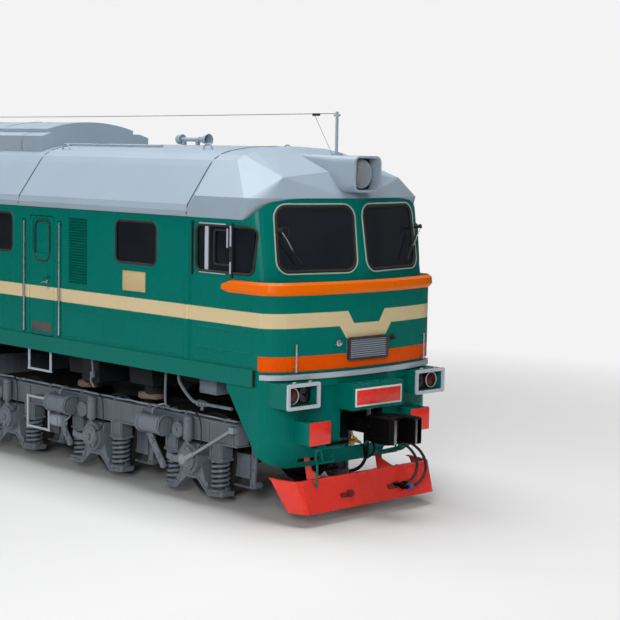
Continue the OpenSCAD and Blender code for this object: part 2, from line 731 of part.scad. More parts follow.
rail_r = 16;
rail_out = 8;
module grab_rail(x) {
  rod([x, -wall_y - rail_out, 1890], [x, -wall_y - rail_out, 3450], rail_r);
  for (h = [1930, 3410])
    rod([x, -wall_y - rail_out, h], [x, -wall_y + groove_deep - 0.3, h], rail_r * 0.7);
}
nose_rail_y = 1120;
nose_rail_x = nose_x - lower_sweep * pow(nose_rail_y / corner_y, 2) + 2.5;
module handrails() color(bright) {
  both_ends() both_sides() for (x = rail_xs) grab_rail(x);
  both_ends() both_sides() translate([nose_rail_x, -nose_rail_y, 0]) {
    translate([52, 0, 1840]) cylinder(h = 340, r = 13);
    for (h = [1880, 2140]) rod([0, 0, h], [52, 0, h], 9);
  }
}

// Brake hoses hang from the end cocks on the skirt to a holder on the plough
hose_r = 18;
hose_routes = [
  [[8420, 440, 880], [8432, 440, 880], [8458, 451, 875], [8490, 475, 862], [8525, 520, 838],
   [8555, 570, 800], [8578, 620, 752], [8592, 662, 700], [8600, 695, 645],
   [8604, 715, 588], [8604, 722, 530], [8602, 712, 473], [8598, 686, 422],
   [8592, 645, 380], [8584, 595, 350], [8576, 540, 332], [8570, 485, 322]],
  [[8420, 560, 880], [8432, 560, 880], [8462, 576, 873], [8496, 608, 858], [8532, 655, 830],
   [8562, 708, 790], [8586, 760, 740], [8604, 805, 684], [8614, 840, 622],
   [8620, 862, 556], [8620, 868, 490], [8616, 856, 425], [8608, 826, 368],
   [8598, 780, 322], [8586, 725, 292], [8576, 665, 276], [8570, 605, 270]]];
module brake_hoses() color(black) both_ends() for (route = hose_routes)
  hose(route, hose_r, [0, 0.3, 1]);
// The cocks where the hoses start and the holder where their heads hang
cock_r = 26;
holder_front_x = 8552;
module brake_cocks() color(black) both_ends() for (route = hose_routes) {
  start = route[0];
  end = route[len(route) - 1];
  difference() {
    translate([8150, start[1], start[2]]) rotate([0, 90, 0])
      cylinder(h = start[0] - 8150.3, r = cock_r);
    apron_rake(0.4);
  }
  translate([end[0], end[1] - cock_r - 1, end[2]]) sphere(r = cock_r);
  difference() {
    block([8380, end[1] - 75, end[2] - 22], [holder_front_x, end[1] - 35, end[2] + 12]);
    blade_front(0.2);
  }
}

// ---------------------------------------------------------------- couplers
// Automatic coupler: shank, head with a large and a small jaw
module coupler() color(black) difference() {
  union() {
    translate([coupler_hinge_x, 0, coupler_h]) cylinder(h = 189, r = 110, center = true);
    block([coupler_hinge_x, -75, coupler_h - 85], [8560, 75, coupler_h + 85]);
    translate([0, 0, coupler_h - 155]) linear_extrude(310)
      polygon([[8500, -90], [8620, -180], [8960, -180], [9010, -140], [9010, -90],
               [8850, -45], [8790, 55], [8860, 110], [coupler_tip_x - 20, 145],
               [coupler_tip_x, 175], [coupler_tip_x, 250], [coupler_tip_x - 60, 295],
               [8640, 270], [8500, 90]]);
    translate([0, 0, coupler_h - 110]) linear_extrude(220)
      polygon([[8800, -80], [8900, -50], [8890, 30], [8780, 60]]);
  }
  translate([coupler_hinge_x, 0, coupler_h - 200]) cylinder(h = 400, r = hinge_r + hinge_gap);
}

// ---------------------------------------------------------------- inside
module driver_desk() color(bogie_grey) {
  side_plate([[7720, floor_top_h], [sill_end_x, floor_top_h], [sill_end_x, sill_top_h],
              [8160, sill_top_h], [8160, 2560], [8060, 2640], [7780, 2560],
              [7690, 2470], [7720, 2440]], -560, 1200);
  side_plate([[7820, floor_top_h], [sill_end_x, floor_top_h], [sill_end_x, sill_top_h],
              [8140, sill_top_h], [8140, 2480], [7820, 2480]], 620, 1000);
}
module driver_seat(y) color(black) translate([7180, y, floor_top_h]) {
  cylinder(h = 420, r = 45);
  cylinder(h = 30, r = 190);
  translate([0, 0, 470]) cube([460, 480, 100], center = true);
  translate([-215, 0, 790]) rotate([0, -8, 0]) cube([90, 450, 600], center = true);
}
module engine() color(bogie_grey) block([-2300, -620, floor_top_h], [2100, 620, 3550]);

// ---------------------------------------------------------------- under the body
tank_half = 1200;
module fuel_tank() color(bogie_grey) {
  translate([-tank_half, 0, 0]) rotate([90, 0, 90]) linear_extrude(2 * tank_half)
    polygon([[-900, 520], [900, 520], [1330, 760], [1330, 1180], [900, 1300],
             [-900, 1300], [-1330, 1180], [-1330, 760]]);
  for (x = [-900, 900]) both_sides()
    block([x - 60, 285, 1300], [x + 60, 335, bolster_low_h + 40]);
}
reservoir_r = 170;
module air_reservoirs() color(bogie_grey) both_sides() {
  rod([-tank_half + 30, 1180, 1420], [tank_half - 30, 1180, 1420], reservoir_r);
  for (x = [-800, 800]) difference() {
    block([x - 30, 1090, 1430], [x + 30, 1270, sill_low_h]);
    rod([x - 50, 1180, 1420], [x + 50, 1180, 1420], reservoir_r + 0.2);
  }
}
// Cooling air boxes over each outer axle pair with a canvas bellows below
duct_xs = [bogie_x - 550, bogie_x + 850];
module motor_air_ducts() both_ends() both_sides() for (x = duct_xs) {
  color(bogie_grey) side_plate([[x - 250, sill_low_h], [x + 240, sill_low_h],
                                [x + 300, 1330], [x - 200, 1330]], -850, 420);
  color("#8a7f78") translate([x + 60, -850, 1190]) cylinder(h = 140, r = 130);
}
module body_step(y) {
  for (x = [-265, 265]) rod([door_mid_x - 120 + x, y, 1350], [door_mid_x - 120 + x, y, 1640], 17);
  rod([door_mid_x - 120 - 282, y, 1350], [door_mid_x - 120 + 282, y, 1350], 17);
}
module body_steps() color(bright) both_ends() both_sides() body_step(-1395);

// ---------------------------------------------------------------- bogie
frame_front = 2970;
frame_back = 2970;
beam_y = spring_y;
beam_w = 190;
beam_low_h = 780;
beam_top_h = 1060;
spring_dx = 450;
seat_h = 165;
spring_top_h = 565;
axles = [-axle_pitch, 0, axle_pitch];
cross_xs = [-2740, -1050, 1050, 2740];
module side_beam() {
  block([-frame_back, -beam_y - beam_w / 2, beam_low_h],
        [frame_front, -beam_y + beam_w / 2, beam_top_h]);
  for (a = axles, s = [-1, 1])
    block([a + s * spring_dx - 130, -beam_y - 85, spring_top_h],
          [a + s * spring_dx + 130, -beam_y + 85, beam_low_h - hinge_gap]);
}
module bogie_step(y) {
  for (x = [-265, 265]) rod([x, y, 480], [x, y, 950], 17);
  for (h = [497, 933]) rod([-265, y, h], [265, y, h], 17);
  for (x = [-150, 150]) rod([x, y, 933], [x, -beam_y - beam_w / 2 - hinge_gap, 933], 15);
}
module side_frames() color(bogie_grey) both_sides() {
  side_beam();
  translate([-1145, 0, 0]) bogie_step(-1330);
}
cross_y = beam_y - beam_w / 2 - hinge_gap;
module cross_beams() color(bogie_grey) difference() {
  union() {
    for (x = cross_xs)
      block([x - 95, -cross_y, beam_low_h + 20], [x + 95, cross_y, beam_top_h - 20]);
    block([cross_xs[1], -190, 940], [cross_xs[2], 190, 1040]);
    translate([0, 0, 900]) cylinder(h = 190, r = 260);
  }
  translate([0, 0, socket_low_h]) cylinder(h = 300, r = post_r + fit_gap);
}
// Axle box with its two low spring wings
box_half_w = 175;
module axle_box() difference() {
  union() {
    side_plate([[-620, seat_h], [-600, 100], [-330, 80], [-225, 185], [-120, 270],
                [120, 270], [225, 185], [330, 80], [600, 100], [620, seat_h],
                [310, seat_h], [245, 330], [box_half_w, 480], [box_half_w, 720],
                [-box_half_w, 720], [-box_half_w, 480], [-245, 330], [-310, seat_h]],
               -spring_y, 190);
    translate([0, -spring_y + 95, axle_h]) rotate([90, 0, 0]) cylinder(h = 265, r = 195);
    translate([0, -spring_y - 170, axle_h]) rotate([90, 0, 0]) cylinder(h = 45, r = 150);
  }
  translate([0, -spring_y + 96, axle_h]) rotate([90, 0, 0])
    cylinder(h = 240, r = journal_d / 2 + fit_gap);
}
module axle_boxes() color(bogie_grey) both_sides() for (a = axles) translate([a, 0, 0]) axle_box();
coils = 6;
wire_d = 38;
module spring() {
  pitch = (spring_top_h - seat_h) / coils;
  r = spring_d / 2;
  rotate_extrude() polygon(concat(
    [[r - wire_d, 0]],
    [for (i = [0:coils - 1]) each [[r - wire_d / 2, i * pitch], [r, i * pitch + 12],
                                   [r, i * pitch + wire_d], [r - wire_d / 2, (i + 0.8) * pitch]]],
    [[r - wire_d / 2, coils * pitch], [r - wire_d, coils * pitch]]));
}
module springs() color(bogie_grey) both_sides() for (a = axles, s = [-1, 1])
  translate([a + s * spring_dx, -spring_y, seat_h]) spring();

// Brake gear: a cylinder behind each wheel, friction damper, hangers and blocks
cylinder_r = 125;
cylinder_y = -beam_y - beam_w / 2 - cylinder_r;
cylinder_h = 905;
module brake_set() {
  translate([-860, cylinder_y - 20, cylinder_h]) rotate([0, 90, 0])
    cylinder(h = 420, r = cylinder_r);
  block([-760, -beam_y - beam_w / 2 - 30, cylinder_h - 60],
        [-540, -beam_y - beam_w / 2, cylinder_h + 60]);
  translate([-160, -beam_y - beam_w / 2, 885]) rotate([90, 0, 0]) cylinder(h = 130, r = 100);
  translate([-20, -beam_y - beam_w / 2 - 62, 770]) cylinder(h = 270, r = 62);
  for (s = [-1, 1]) {
    // hanger, block holder and block beside the tread
    side_plate([[s * 800, 1040], [s * 880, 1040], [s * 860, 700], [s * 800, 250],
                [s * 740, 250], [s * 770, 700]], -790, 50);
    rod([s * 840, -beam_y + beam_w / 2 + 0, 1000], [s * 840, -780, 1000], 24);
    difference() {
      block([min(s * 500, s * 770), -850, 330], [max(s * 500, s * 770), -765, 640]);
      translate([0, -700, axle_h]) rotate([90, 0, 0]) cylinder(h = 200, r = wheel_d / 2 + 8);
    }
  }
}
module brakes() color(bogie_grey) both_sides() for (a = axles) translate([a, 0, 0]) brake_set();

// Traction motor hung between its axle and the cross beam
motor_in = 560;
module motor() difference() {
  union() {
    translate([motor_in, 0, axle_h]) rotate([90, 0, 0]) cylinder(h = 960, r = 350, center = true, $fn = 8);
    translate([0, 0, axle_h]) rotate([90, 0, 0]) cylinder(h = 900, r = 165, center = true);
    block([0, -450, axle_h - 160], [motor_in, 450, axle_h + 160]);
    translate([0, 620, 0]) hull() {
      translate([0, 0, axle_h]) rotate([90, 0, 0]) cylinder(h = 130, r = 345, center = true);
      translate([motor_in, 0, axle_h + 10]) rotate([90, 0, 0]) cylinder(h = 130, r = 190, center = true);
    }
    block([motor_in - 60, 450, axle_h - 60], [motor_in + 60, 600, axle_h + 60]);
  }
  translate([0, 0, axle_h]) rotate([90, 0, 0]) cylinder(h = 1500, r = axle_d / 2 + fit_gap, center = true);
}
module motors() color(bogie_grey) {
  translate([-axle_pitch, 0, 0]) motor();
  translate([0, 0, 0]) motor();
  translate([axle_pitch, 0, 0]) rotate([0, 0, 180]) motor();
}
module at_bogie(rear) translate([rear ? -bogie_x : bogie_x, 0, 0])
  rotate([0, 0, rear ? 180 : 0]) children();

// ---------------------------------------------------------------- wheelset
axle_half = 1190;
tread_r = wheel_d / 2;
module wheel_profile() polygon([
  [axle_d / 2 - 1, wheel_back / 2 - 20], [axle_d / 2 + 65, wheel_back / 2 - 20],
  [axle_d / 2 + 75, wheel_back / 2 + 35], [tread_r - 80, wheel_back / 2 + 55],
  [tread_r - 60, wheel_back / 2], [tread_r + flange_h - 10, wheel_back / 2],
  [tread_r + flange_h, wheel_back / 2 + 10], [tread_r + flange_h, wheel_back / 2 + 16],
  [tread_r + flange_h - 10, wheel_back / 2 + 26], [tread_r + 3, wheel_back / 2 + 34],
  [tread_r, wheel_back / 2 + 46], [tread_r - 4, wheel_back / 2 + rim_w - 6],
  [tread_r - 10, wheel_back / 2 + rim_w], [tread_r - 70, wheel_back / 2 + rim_w],
  [tread_r - 85, wheel_back / 2 + 85], [axle_d / 2 + 80, wheel_back / 2 + 65],
  [axle_d / 2 + 60, wheel_back / 2 + 150], [axle_d / 2 - 1, wheel_back / 2 + 150]]);
module wheelset() color(bogie_grey) translate([0, 0, axle_h]) rotate([90, 0, 0]) {
  for (m = [0, 1]) mirror([0, 0, m]) rotate_extrude($fn = 96) wheel_profile();
  cylinder(h = 2 * (wheel_back / 2 + 150), r = axle_d / 2, center = true);
  cylinder(h = 2 * axle_half, r = journal_d / 2, center = true);
}

lift() underframe();
lift() side_walls();
lift() cab();  // front_cab
lift() rotate([0, 0, 180]) cab();  // rear_cab
lift() bulkheads();
lift() both_ends() cab_roof();  // cab_roofs
lift() roof_sections();
lift() roof_hatch();
lift() cooling_shutters();
lift() windscreens();
lift() side_windows();
lift() side_louvres();
lift() handrails();
lift() both_ends() { headlight(); headlight_lens(); }  // headlights
lift() horns();
lift() antenna_masts();
lift() both_ends() belt_moulding();  // belt_mouldings
lift() both_ends() nose_strip();  // nose_strips
lift() both_ends() nose_grille();  // nose_grilles
lift() both_ends() apron();  // aprons
lift() both_ends() snow_plough();  // snow_ploughs
lift() marker_lamps();
lift() both_ends() number_box();  // number_boxes
lift() buffer_stubs();
lift() brake_cocks();
lift() brake_hoses();
lift() both_ends() driver_desk();  // driver_desks
lift() both_ends() for (y = [-620, 620]) driver_seat(y);  // driver_seats
lift() engine();
lift() fuel_tank();
lift() air_reservoirs();
lift() motor_air_ducts();
lift() body_steps();
lift() coupler();  // front_coupler
lift() rotate([0, 0, 180]) coupler();  // rear_coupler
lift() door_leaf();  // front_right_door
lift() mirror([0, 1, 0]) door_leaf();  // front_left_door
lift() mirror([1, 0, 0]) door_leaf();  // rear_right_door
lift() rotate([0, 0, 180]) door_leaf();  // rear_left_door
lift() at_bogie(false) side_frames();  // front_side_frames
lift() at_bogie(false) cross_beams();  // front_cross_beams
lift() at_bogie(false) axle_boxes();  // front_axle_boxes
lift() at_bogie(false) springs();  // front_springs
lift() at_bogie(false) brakes();  // front_brakes
lift() at_bogie(false) motors();  // front_motors
lift() at_bogie(false) translate([axle_pitch, 0, 0]) wheelset();  // front_wheelset_1
lift() at_bogie(false) wheelset();  // front_wheelset_2
lift() at_bogie(false) translate([-axle_pitch, 0, 0]) wheelset();  // front_wheelset_3
lift() at_bogie(true) side_frames();  // rear_side_frames
lift() at_bogie(true) cross_beams();  // rear_cross_beams
lift() at_bogie(true) axle_boxes();  // rear_axle_boxes
lift() at_bogie(true) springs();  // rear_springs
lift() at_bogie(true) brakes();  // rear_brakes
lift() at_bogie(true) motors();  // rear_motors
lift() at_bogie(true) translate([-axle_pitch, 0, 0]) wheelset();  // rear_wheelset_1
lift() at_bogie(true) wheelset();  // rear_wheelset_2
lift() at_bogie(true) translate([axle_pitch, 0, 0]) wheelset();  // rear_wheelset_3
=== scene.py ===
# %% [markdown]
# # A diesel locomotive in a pale studio
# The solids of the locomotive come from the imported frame, in metres: +X is the front cab, +Y its left
# side, +Z up, and the floor is at zero. This lesson gives them their paint and adds what a builder
# would bolt on afterwards: springs, hoses, gaskets, wipers, lamps, pipes and bolts.

# %% Load the frame
import json
from math import acos, atan2, cos, pi, radians, sin, tau

import bmesh
import bpy
from mathutils import Matrix, Vector


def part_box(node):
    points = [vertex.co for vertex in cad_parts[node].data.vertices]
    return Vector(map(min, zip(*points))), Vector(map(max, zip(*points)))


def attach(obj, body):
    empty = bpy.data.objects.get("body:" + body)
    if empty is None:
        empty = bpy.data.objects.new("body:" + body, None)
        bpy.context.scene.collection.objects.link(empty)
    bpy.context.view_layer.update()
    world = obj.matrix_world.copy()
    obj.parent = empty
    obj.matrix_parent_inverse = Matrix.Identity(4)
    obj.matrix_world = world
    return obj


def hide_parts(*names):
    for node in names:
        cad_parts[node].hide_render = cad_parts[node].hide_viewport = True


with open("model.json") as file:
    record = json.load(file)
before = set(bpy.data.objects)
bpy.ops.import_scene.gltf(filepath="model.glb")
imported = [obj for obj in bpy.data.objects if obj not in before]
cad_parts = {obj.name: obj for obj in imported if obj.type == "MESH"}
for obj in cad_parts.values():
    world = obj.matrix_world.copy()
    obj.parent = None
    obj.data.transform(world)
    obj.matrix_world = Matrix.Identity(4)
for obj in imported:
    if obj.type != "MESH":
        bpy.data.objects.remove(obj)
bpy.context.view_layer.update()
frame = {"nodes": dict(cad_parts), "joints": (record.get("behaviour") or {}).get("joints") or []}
nodes = frame["nodes"]

# %% [markdown]
# ## Sizes that everything below is worked out from
# Heights on railway drawings are given above the rail. The model stands on its wheel flanges, which
# reach 28 mm below the rail, so `h()` turns a drawing height into a height above the floor.

# %% Driving sizes
RAIL = 0.028
def h(height):
    return height + RAIL
PIVOT_X = frame["joints"][0]["pos_m"][0]
AXLE_PITCH = 2.1
AXLE_Z = h(0.525)
WALL_Y = 1.45
SPRING_Y = 1.055
NOSE_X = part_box("front_cab")[1].x
ROOF_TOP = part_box("roof_sections")[1].z
MIRROR_Y = Matrix.Diagonal((1, -1, 1, 1))
MIRROR_X = Matrix.Diagonal((-1, 1, 1, 1))
TURN = Matrix.Rotation(pi, 4, "Z")
SIDES = (Matrix.Identity(4), MIRROR_Y)
ENDS = (Matrix.Identity(4), TURN)
CORNERS = (Matrix.Identity(4), MIRROR_Y, MIRROR_X, TURN)
print("nose at", round(NOSE_X, 3), "roof at", round(ROOF_TOP, 3), "pivot at", PIVOT_X)

# %% [markdown]
# ## Camera
# A long lens from the right-hand front quarter, a little above the cab floor, looking slightly down.
# The camera's own axes are built from its heading, its pitch and a one degree roll.

# %% Camera
CAMERA_AT = Vector((22.65, -14.48, 4.538))
HEADING, PITCH, ROLL = radians(136.60), radians(5.57), radians(1.00)
forward = Vector((cos(PITCH) * cos(HEADING), cos(PITCH) * sin(HEADING), -sin(PITCH)))
right = Vector((sin(HEADING), -cos(HEADING), 0))
up = right.cross(forward)
right, up = right * cos(ROLL) + up * sin(ROLL), up * cos(ROLL) - right * sin(ROLL)
lens = bpy.data.cameras.new("camera")
lens.sensor_width = 36
lens.lens = 95.7
lens.clip_end = 300
camera = bpy.data.objects.new("camera", lens)
camera.matrix_world = Matrix.Translation(CAMERA_AT) @ Matrix((right, up, -forward)).transposed().to_4x4()
bpy.context.scene.collection.objects.link(camera)
bpy.context.scene.camera = camera
print("camera: lens", lens.lens, "mm at", [round(v, 2) for v in CAMERA_AT])

# %% [markdown]
# ## Two helpers for materials
# Paint is quoted as the hex value a picture editor shows, which is sRGB, but shaders work in linear
# light, so one function turns it. Another adds a node with its settings and its inputs.

# %% Colour and node helpers
def colour(code):
    parts = [int(code[i:i + 2], 16) / 255 for i in (1, 3, 5)]
    return (*[c / 12.92 if c <= 0.04045 else ((c + 0.055) / 1.055) ** 2.4 for c in parts], 1.0)

def add(tree, kind, inputs=None, **settings):
    made = tree.nodes.new("ShaderNode" + kind)
    for name, value in settings.items():
        setattr(made, name, value)
    for name, value in (inputs or {}).items():
        if isinstance(value, bpy.types.NodeSocket):
            tree.links.new(value, made.inputs[name])
        else:
            made.inputs[name].default_value = value
    return made

def new_material(name):
    made = bpy.data.materials.new(name)
    made.use_nodes = True
    made.node_tree.nodes.clear()
    return made, made.node_tree

def finish_material(tree, shader):
    add(tree, "OutputMaterial", {"Surface": shader.outputs[0]})

def blend_colours(tree, share, first, second, mode="MIX"):
    mixed = add(tree, "Mix", data_type="RGBA", blend_type=mode)
    for slot, value in ((0, share), (6, first), (7, second)):
        if isinstance(value, bpy.types.NodeSocket):
            tree.links.new(value, mixed.inputs[slot])
        else:
            mixed.inputs[slot].default_value = value
    return mixed.outputs[2]

def calc(tree, operation, *values, clamp=False):
    return add(tree, "Math", dict(enumerate(values)), operation=operation, use_clamp=clamp).outputs[0]

def noise(tree, size, detail=3.0, stretch=(1, 1, 1)):
    """A noise whose blobs are about size metres across."""
    place = add(tree, "TexCoord").outputs["Object"]
    scaled = add(tree, "Mapping", {"Vector": place, "Scale": tuple(s / size for s in stretch)})
    made = add(tree, "TexNoise", {"Vector": scaled.outputs[0], "Scale": 1.0, "Detail": detail})
    return made.outputs["Fac"]

def spread(tree, value, low, high, out_low=0.0, out_high=1.0):
    made = add(tree, "MapRange", {"Value": value, "From Min": low, "From Max": high,
                                  "To Min": out_low, "To Max": out_high}, clamp=True)
    return made.outputs["Result"]
print("helpers ready")

# %% [markdown]
# ## Enamel on steel
# Almost everything outside is sheet steel with a few coats of alkyd enamel. It has a thin clear film
# over the pigment (a coat), a faint orange peel, plates that are never quite flat, rain streaks, and
# brake dust that thickens towards the rails. One function makes every colour of it.

# %% Enamel
DUST = colour("#6d655b")

def place_axes(tree):
    place = add(tree, "TexCoord").outputs["Object"]
    split = add(tree, "SeparateXYZ", {"Vector": place})
    return split.outputs

def enamel(name, code, roughness=0.32, coat=0.12, dust=0.25, dust_top=2.0, fade=0.06,
           ripple=0.0020, pigment=None, streak=0.0, shine=0.22):
    made, tree = new_material(name)
    base = colour(code)
    flat = pigment(tree, base) if pigment else base
    patches = spread(tree, noise(tree, 0.9), 0.3, 0.7)
    lighter = blend_colours(tree, fade, flat, (1, 1, 1, 1), "SOFT_LIGHT")
    faded = blend_colours(tree, patches, flat, lighter)
    streaks = spread(tree, noise(tree, 0.05, 4.0, (1, 1, 0.06)), 0.48, 0.75, 0.0, streak)
    streaked = blend_colours(tree, streaks, faded, DUST, "MULTIPLY")
    low = spread(tree, place_axes(tree)["Z"], dust_top, 0.1, 0.0, dust)
    lying = calc(tree, "MULTIPLY", low, spread(tree, noise(tree, 0.12, 6.0), 0.25, 0.7, 0.35, 1.0))
    dusty = blend_colours(tree, lying, streaked, DUST)
    grain = spread(tree, noise(tree, 0.35, 5.0), 0.2, 0.8, roughness - 0.07, roughness + 0.10)
    rough = calc(tree, "ADD", grain, calc(tree, "MULTIPLY", lying, 0.5), clamp=True)
    plates = add(tree, "Bump", {"Height": noise(tree, 0.7, 1.0), "Distance": ripple * 8, "Strength": 0.35})
    peel = add(tree, "Bump", {"Height": noise(tree, 0.006, 2.0), "Distance": 0.0004, "Strength": 0.25,
                              "Normal": plates.outputs[0]})
    shader = add(tree, "BsdfPrincipled", {"Base Color": dusty, "Roughness": rough,
                                          "Normal": peel.outputs[0], "Specular IOR Level": shine,
                                          "Coat Weight": coat, "Coat Roughness": 0.1})
    finish_material(tree, shader)
    return made

# %% [markdown]
# ## The livery
# The body is green with one cream line all round, which dips under the middle of the nose above the
# grille, and an orange band low on the nose. They are painted, so they are part of the enamel: the
# height and the distance from the middle pick the pigment, and each edge is a step a few mm wide.

# %% Livery
CREAM = colour("#d2bf96")
ORANGE = colour("#e25200")
LINE_TOP, LINE_LOW = h(2.545), h(2.365)
DIP = 0.155
EDGE = 0.004

def step_up(tree, value, at):
    return spread(tree, value, at - EDGE / 2, at + EDGE / 2)

def livery_pigment(tree, green):
    axes = place_axes(tree)
    across = calc(tree, "ABSOLUTE", axes["Y"])
    along = calc(tree, "ABSOLUTE", axes["X"])
    top_dip = calc(tree, "MULTIPLY", spread(tree, across, 0.22, 0.32, 1.0, 0.0), DIP)
    low_dip = calc(tree, "MULTIPLY", spread(tree, across, 0.34, 0.45, 1.0, 0.0), DIP)
    above_low = step_up(tree, calc(tree, "ADD", axes["Z"], low_dip), LINE_LOW)
    below_top = calc(tree, "SUBTRACT", 1.0, step_up(tree, calc(tree, "ADD", axes["Z"], top_dip), LINE_TOP))
    line = calc(tree, "MULTIPLY", above_low, below_top)
    with_line = blend_colours(tree, line, green, CREAM)
    on_nose = step_up(tree, along, 7.975)
    band = calc(tree, "MULTIPLY", step_up(tree, axes["Z"], h(1.838)),
                calc(tree, "SUBTRACT", 1.0, step_up(tree, axes["Z"], h(2.025))))
    return blend_colours(tree, calc(tree, "MULTIPLY", on_nose, band), with_line, ORANGE)

def lamp_pigment(tree, green):
    ahead = step_up(tree, calc(tree, "ABSOLUTE", place_axes(tree)["X"]), 8.420)
    return blend_colours(tree, ahead, green, colour("#b9c0c8"))

green_livery = enamel("green body enamel with cream line", "#006c61", 0.26, 0.04, 0.0,
                      pigment=livery_pigment, shine=0.05)
green_plain = enamel("green body enamel", "#006a5f", 0.28, 0.05, 0.05, 1.2, shine=0.10)
# On the underframe, everything within 1.405 m of the middle is near-black: black paint and painted shade for
# the underside. Outside that the sill is green.
def sill_pigment_with_painted_shade(tree, green):
    outside = step_up(tree, calc(tree, "ABSOLUTE", place_axes(tree)["Y"]), 1.405)
    return blend_colours(tree, outside, colour("#16191b"), green)

sill_enamel = enamel("green sill enamel over black underside", "#006a5f", 0.30, 0.05, 0.0,
                     pigment=sill_pigment_with_painted_shade, shine=0.10)
# Near-black for the parts under the body: black paint made darker as painted shade, where the body's shadow
# falls.
under_black_and_painted_shade = enamel("dusty near-black underframe paint and painted shade", "#1a1d20", 0.6, 0.0, 0.25, 1.6, shine=0.1)
lamp_enamel = enamel("green enamel with a light grey bezel", "#006a5f", 0.30, 0.05, 0.0,
                     pigment=lamp_pigment, shine=0.12)
roof_grey = enamel("pale blue-grey roof enamel", "#8f9eac", 0.42, 0.05, 0.0, fade=0.1)
running_grey = enamel("grey running gear enamel", "#636c75", 0.42, 0.10, 0.12, 0.8, fade=0.2,
                      streak=0.3, shine=0.35)
def step_pigment(tree, grey):
    outside = step_up(tree, calc(tree, "ABSOLUTE", place_axes(tree)["Y"]), 1.295)
    return blend_colours(tree, outside, grey, colour("#a9b1b9"))

frame_grey = enamel("grey frame enamel with light steps", "#596169", 0.44, 0.08, 0.16, 0.9, fade=0.2,
                    streak=0.3, pigment=step_pigment, shine=0.3)
rod_grey = enamel("pale grey rod enamel", "#828b94", 0.42, 0.05, 0.1, 0.9, fade=0.2, shine=0.3)
light_grey = enamel("light grey enamel", "#aeb7c1", 0.38, 0.1, 0.20, 1.3)
orange_enamel = enamel("orange moulding enamel", "#ea6800", 0.30, 0.12, 0.0, shine=0.12)
red_enamel = enamel("signal red enamel", "#e02e22", 0.24, 0.25, 0.04, 0.8, fade=0.5, ripple=0.003, shine=0.3)
black_enamel = enamel("black coupler paint", "#040405", 0.50, 0.0, 0.0, shine=0.08)
white_enamel = enamel("white sign enamel", "#dededa", 0.35, 0.1, 0.0)
print("enamels:", len([m for m in bpy.data.materials if "enamel" in m.name or "paint" in m.name]))

# %% [markdown]
# ## Steel, brass and silvering
# Bare metal has no colour of its own beyond its reflection, so it is fully metallic with the default
# IOR. What tells worn steel from polished brass is the tint, the roughness and the grain.

# %% Metals
def metal(name, code, roughness, grain=0.004):
    made, tree = new_material(name)
    tone = blend_colours(tree, spread(tree, noise(tree, 0.05), 0.3, 0.7, 0.0, 0.35), colour(code), DUST)
    rough = spread(tree, noise(tree, grain, 4.0, (1, 1, 0.2)), 0.3, 0.7, roughness - 0.06, roughness + 0.10)
    bump = add(tree, "Bump", {"Height": noise(tree, grain, 2.0), "Distance": 0.0005, "Strength": 0.2})
    shader = add(tree, "BsdfPrincipled", {"Base Color": tone, "Metallic": 1.0, "Roughness": rough,
                                          "Normal": bump.outputs[0]})
    finish_material(tree, shader)
    return made

bright_steel = metal("bright handrail steel", "#c6cbd2", 0.22)
worn_steel = metal("worn tread steel", "#8d8f92", 0.34)
brass = metal("cast brass", "#a98a4b", 0.38)
wire_steel = metal("galvanised wire", "#7c8288", 0.5)

# %% [markdown]
# ## Rubber, vinyl, canvas and bare paint
# Dull materials share one recipe: a colour that leans towards dust in soft patches, a fine grain and
# a roughness that wanders with it.

# %% Dull materials
def dull(name, code, roughness, grain=0.003, depth=0.0006, second=None, size=0.2):
    made, tree = new_material(name)
    other = colour(second) if second else DUST
    share = spread(tree, noise(tree, size, 5.0), 0.35, 0.75, 0.0, 0.35)
    tone = blend_colours(tree, share, colour(code), other)
    bump = add(tree, "Bump", {"Height": noise(tree, grain, 3.0), "Distance": depth, "Strength": 0.4})
    rough = spread(tree, noise(tree, size / 3), 0.3, 0.7, roughness - 0.08, roughness + 0.08)
    shader = add(tree, "BsdfPrincipled", {"Base Color": tone, "Roughness": rough,
                                          "Normal": bump.outputs[0]})
    finish_material(tree, shader)
    return made

black_rubber = dull("black window rubber", "#0b0b0c", 0.6, second="#1c1c1e")
hose_rubber = dull("ribbed air hose rubber", "#0e0e10", 0.5, grain=0.004, second="#1c1c1f")
canvas = dull("canvas bellows", "#857468", 0.9, grain=0.004, depth=0.002, second="#5b4f46", size=0.05)
tread_plate = dull("dark rubber kick plate", "#3b3d44", 0.7, grain=0.012, depth=0.002)
cab_vinyl = dull("black seat vinyl", "#15161a", 0.5, grain=0.002)
cab_panel = dull("grey cab panelling", "#70767a", 0.6)
sign_plate = dull("buff sign enamel", "#c6ad7e", 0.5, size=0.02, second="#a48e66")
engine_paint = dull("machinery grey", "#4a5055", 0.6)
dark_inside = dull("dark lamp interior", "#101214", 0.5)

# %% [markdown]
# ## Glass
# Window glass is seen from outside as a dark mirror with a little of the cab behind it: a dark tint,
# partly see-through and slightly smeared. Lamp glass has the same recipe with its own tint and opacity.

# %% Glass and lamps
def glass(name, code, alpha, roughness=0.03):
    made, tree = new_material(name)
    smear = spread(tree, noise(tree, 0.25, 5.0), 0.3, 0.8, roughness, roughness + 0.05)
    tone = blend_colours(tree, spread(tree, noise(tree, 0.5), 0.3, 0.7, 0.0, 0.05), colour(code), DUST)
    shader = add(tree, "BsdfPrincipled", {"Base Color": tone, "Roughness": smear, "Alpha": alpha,
                                          "IOR": 1.52})
    finish_material(tree, shader)
    made.blend_method = "BLEND"
    return made

window_glass = glass("tinted window glass", "#0b151f", 0.84)
red_glass = glass("red lamp glass", "#4c0606", 1.0, 0.06)
clear_glass = glass("clear lamp glass", "#c8d0d6", 0.25)
mirror_silver = metal("silvered reflector", "#b4bac2", 0.12)
# The marker reflectors are silvered bowls given dark metal: painted shade, as a bowl looks when it mirrors
# the dark lamp box.
dark_silver = metal("tarnished reflector", "#30353a", 0.2)
print("materials:", len(bpy.data.materials))
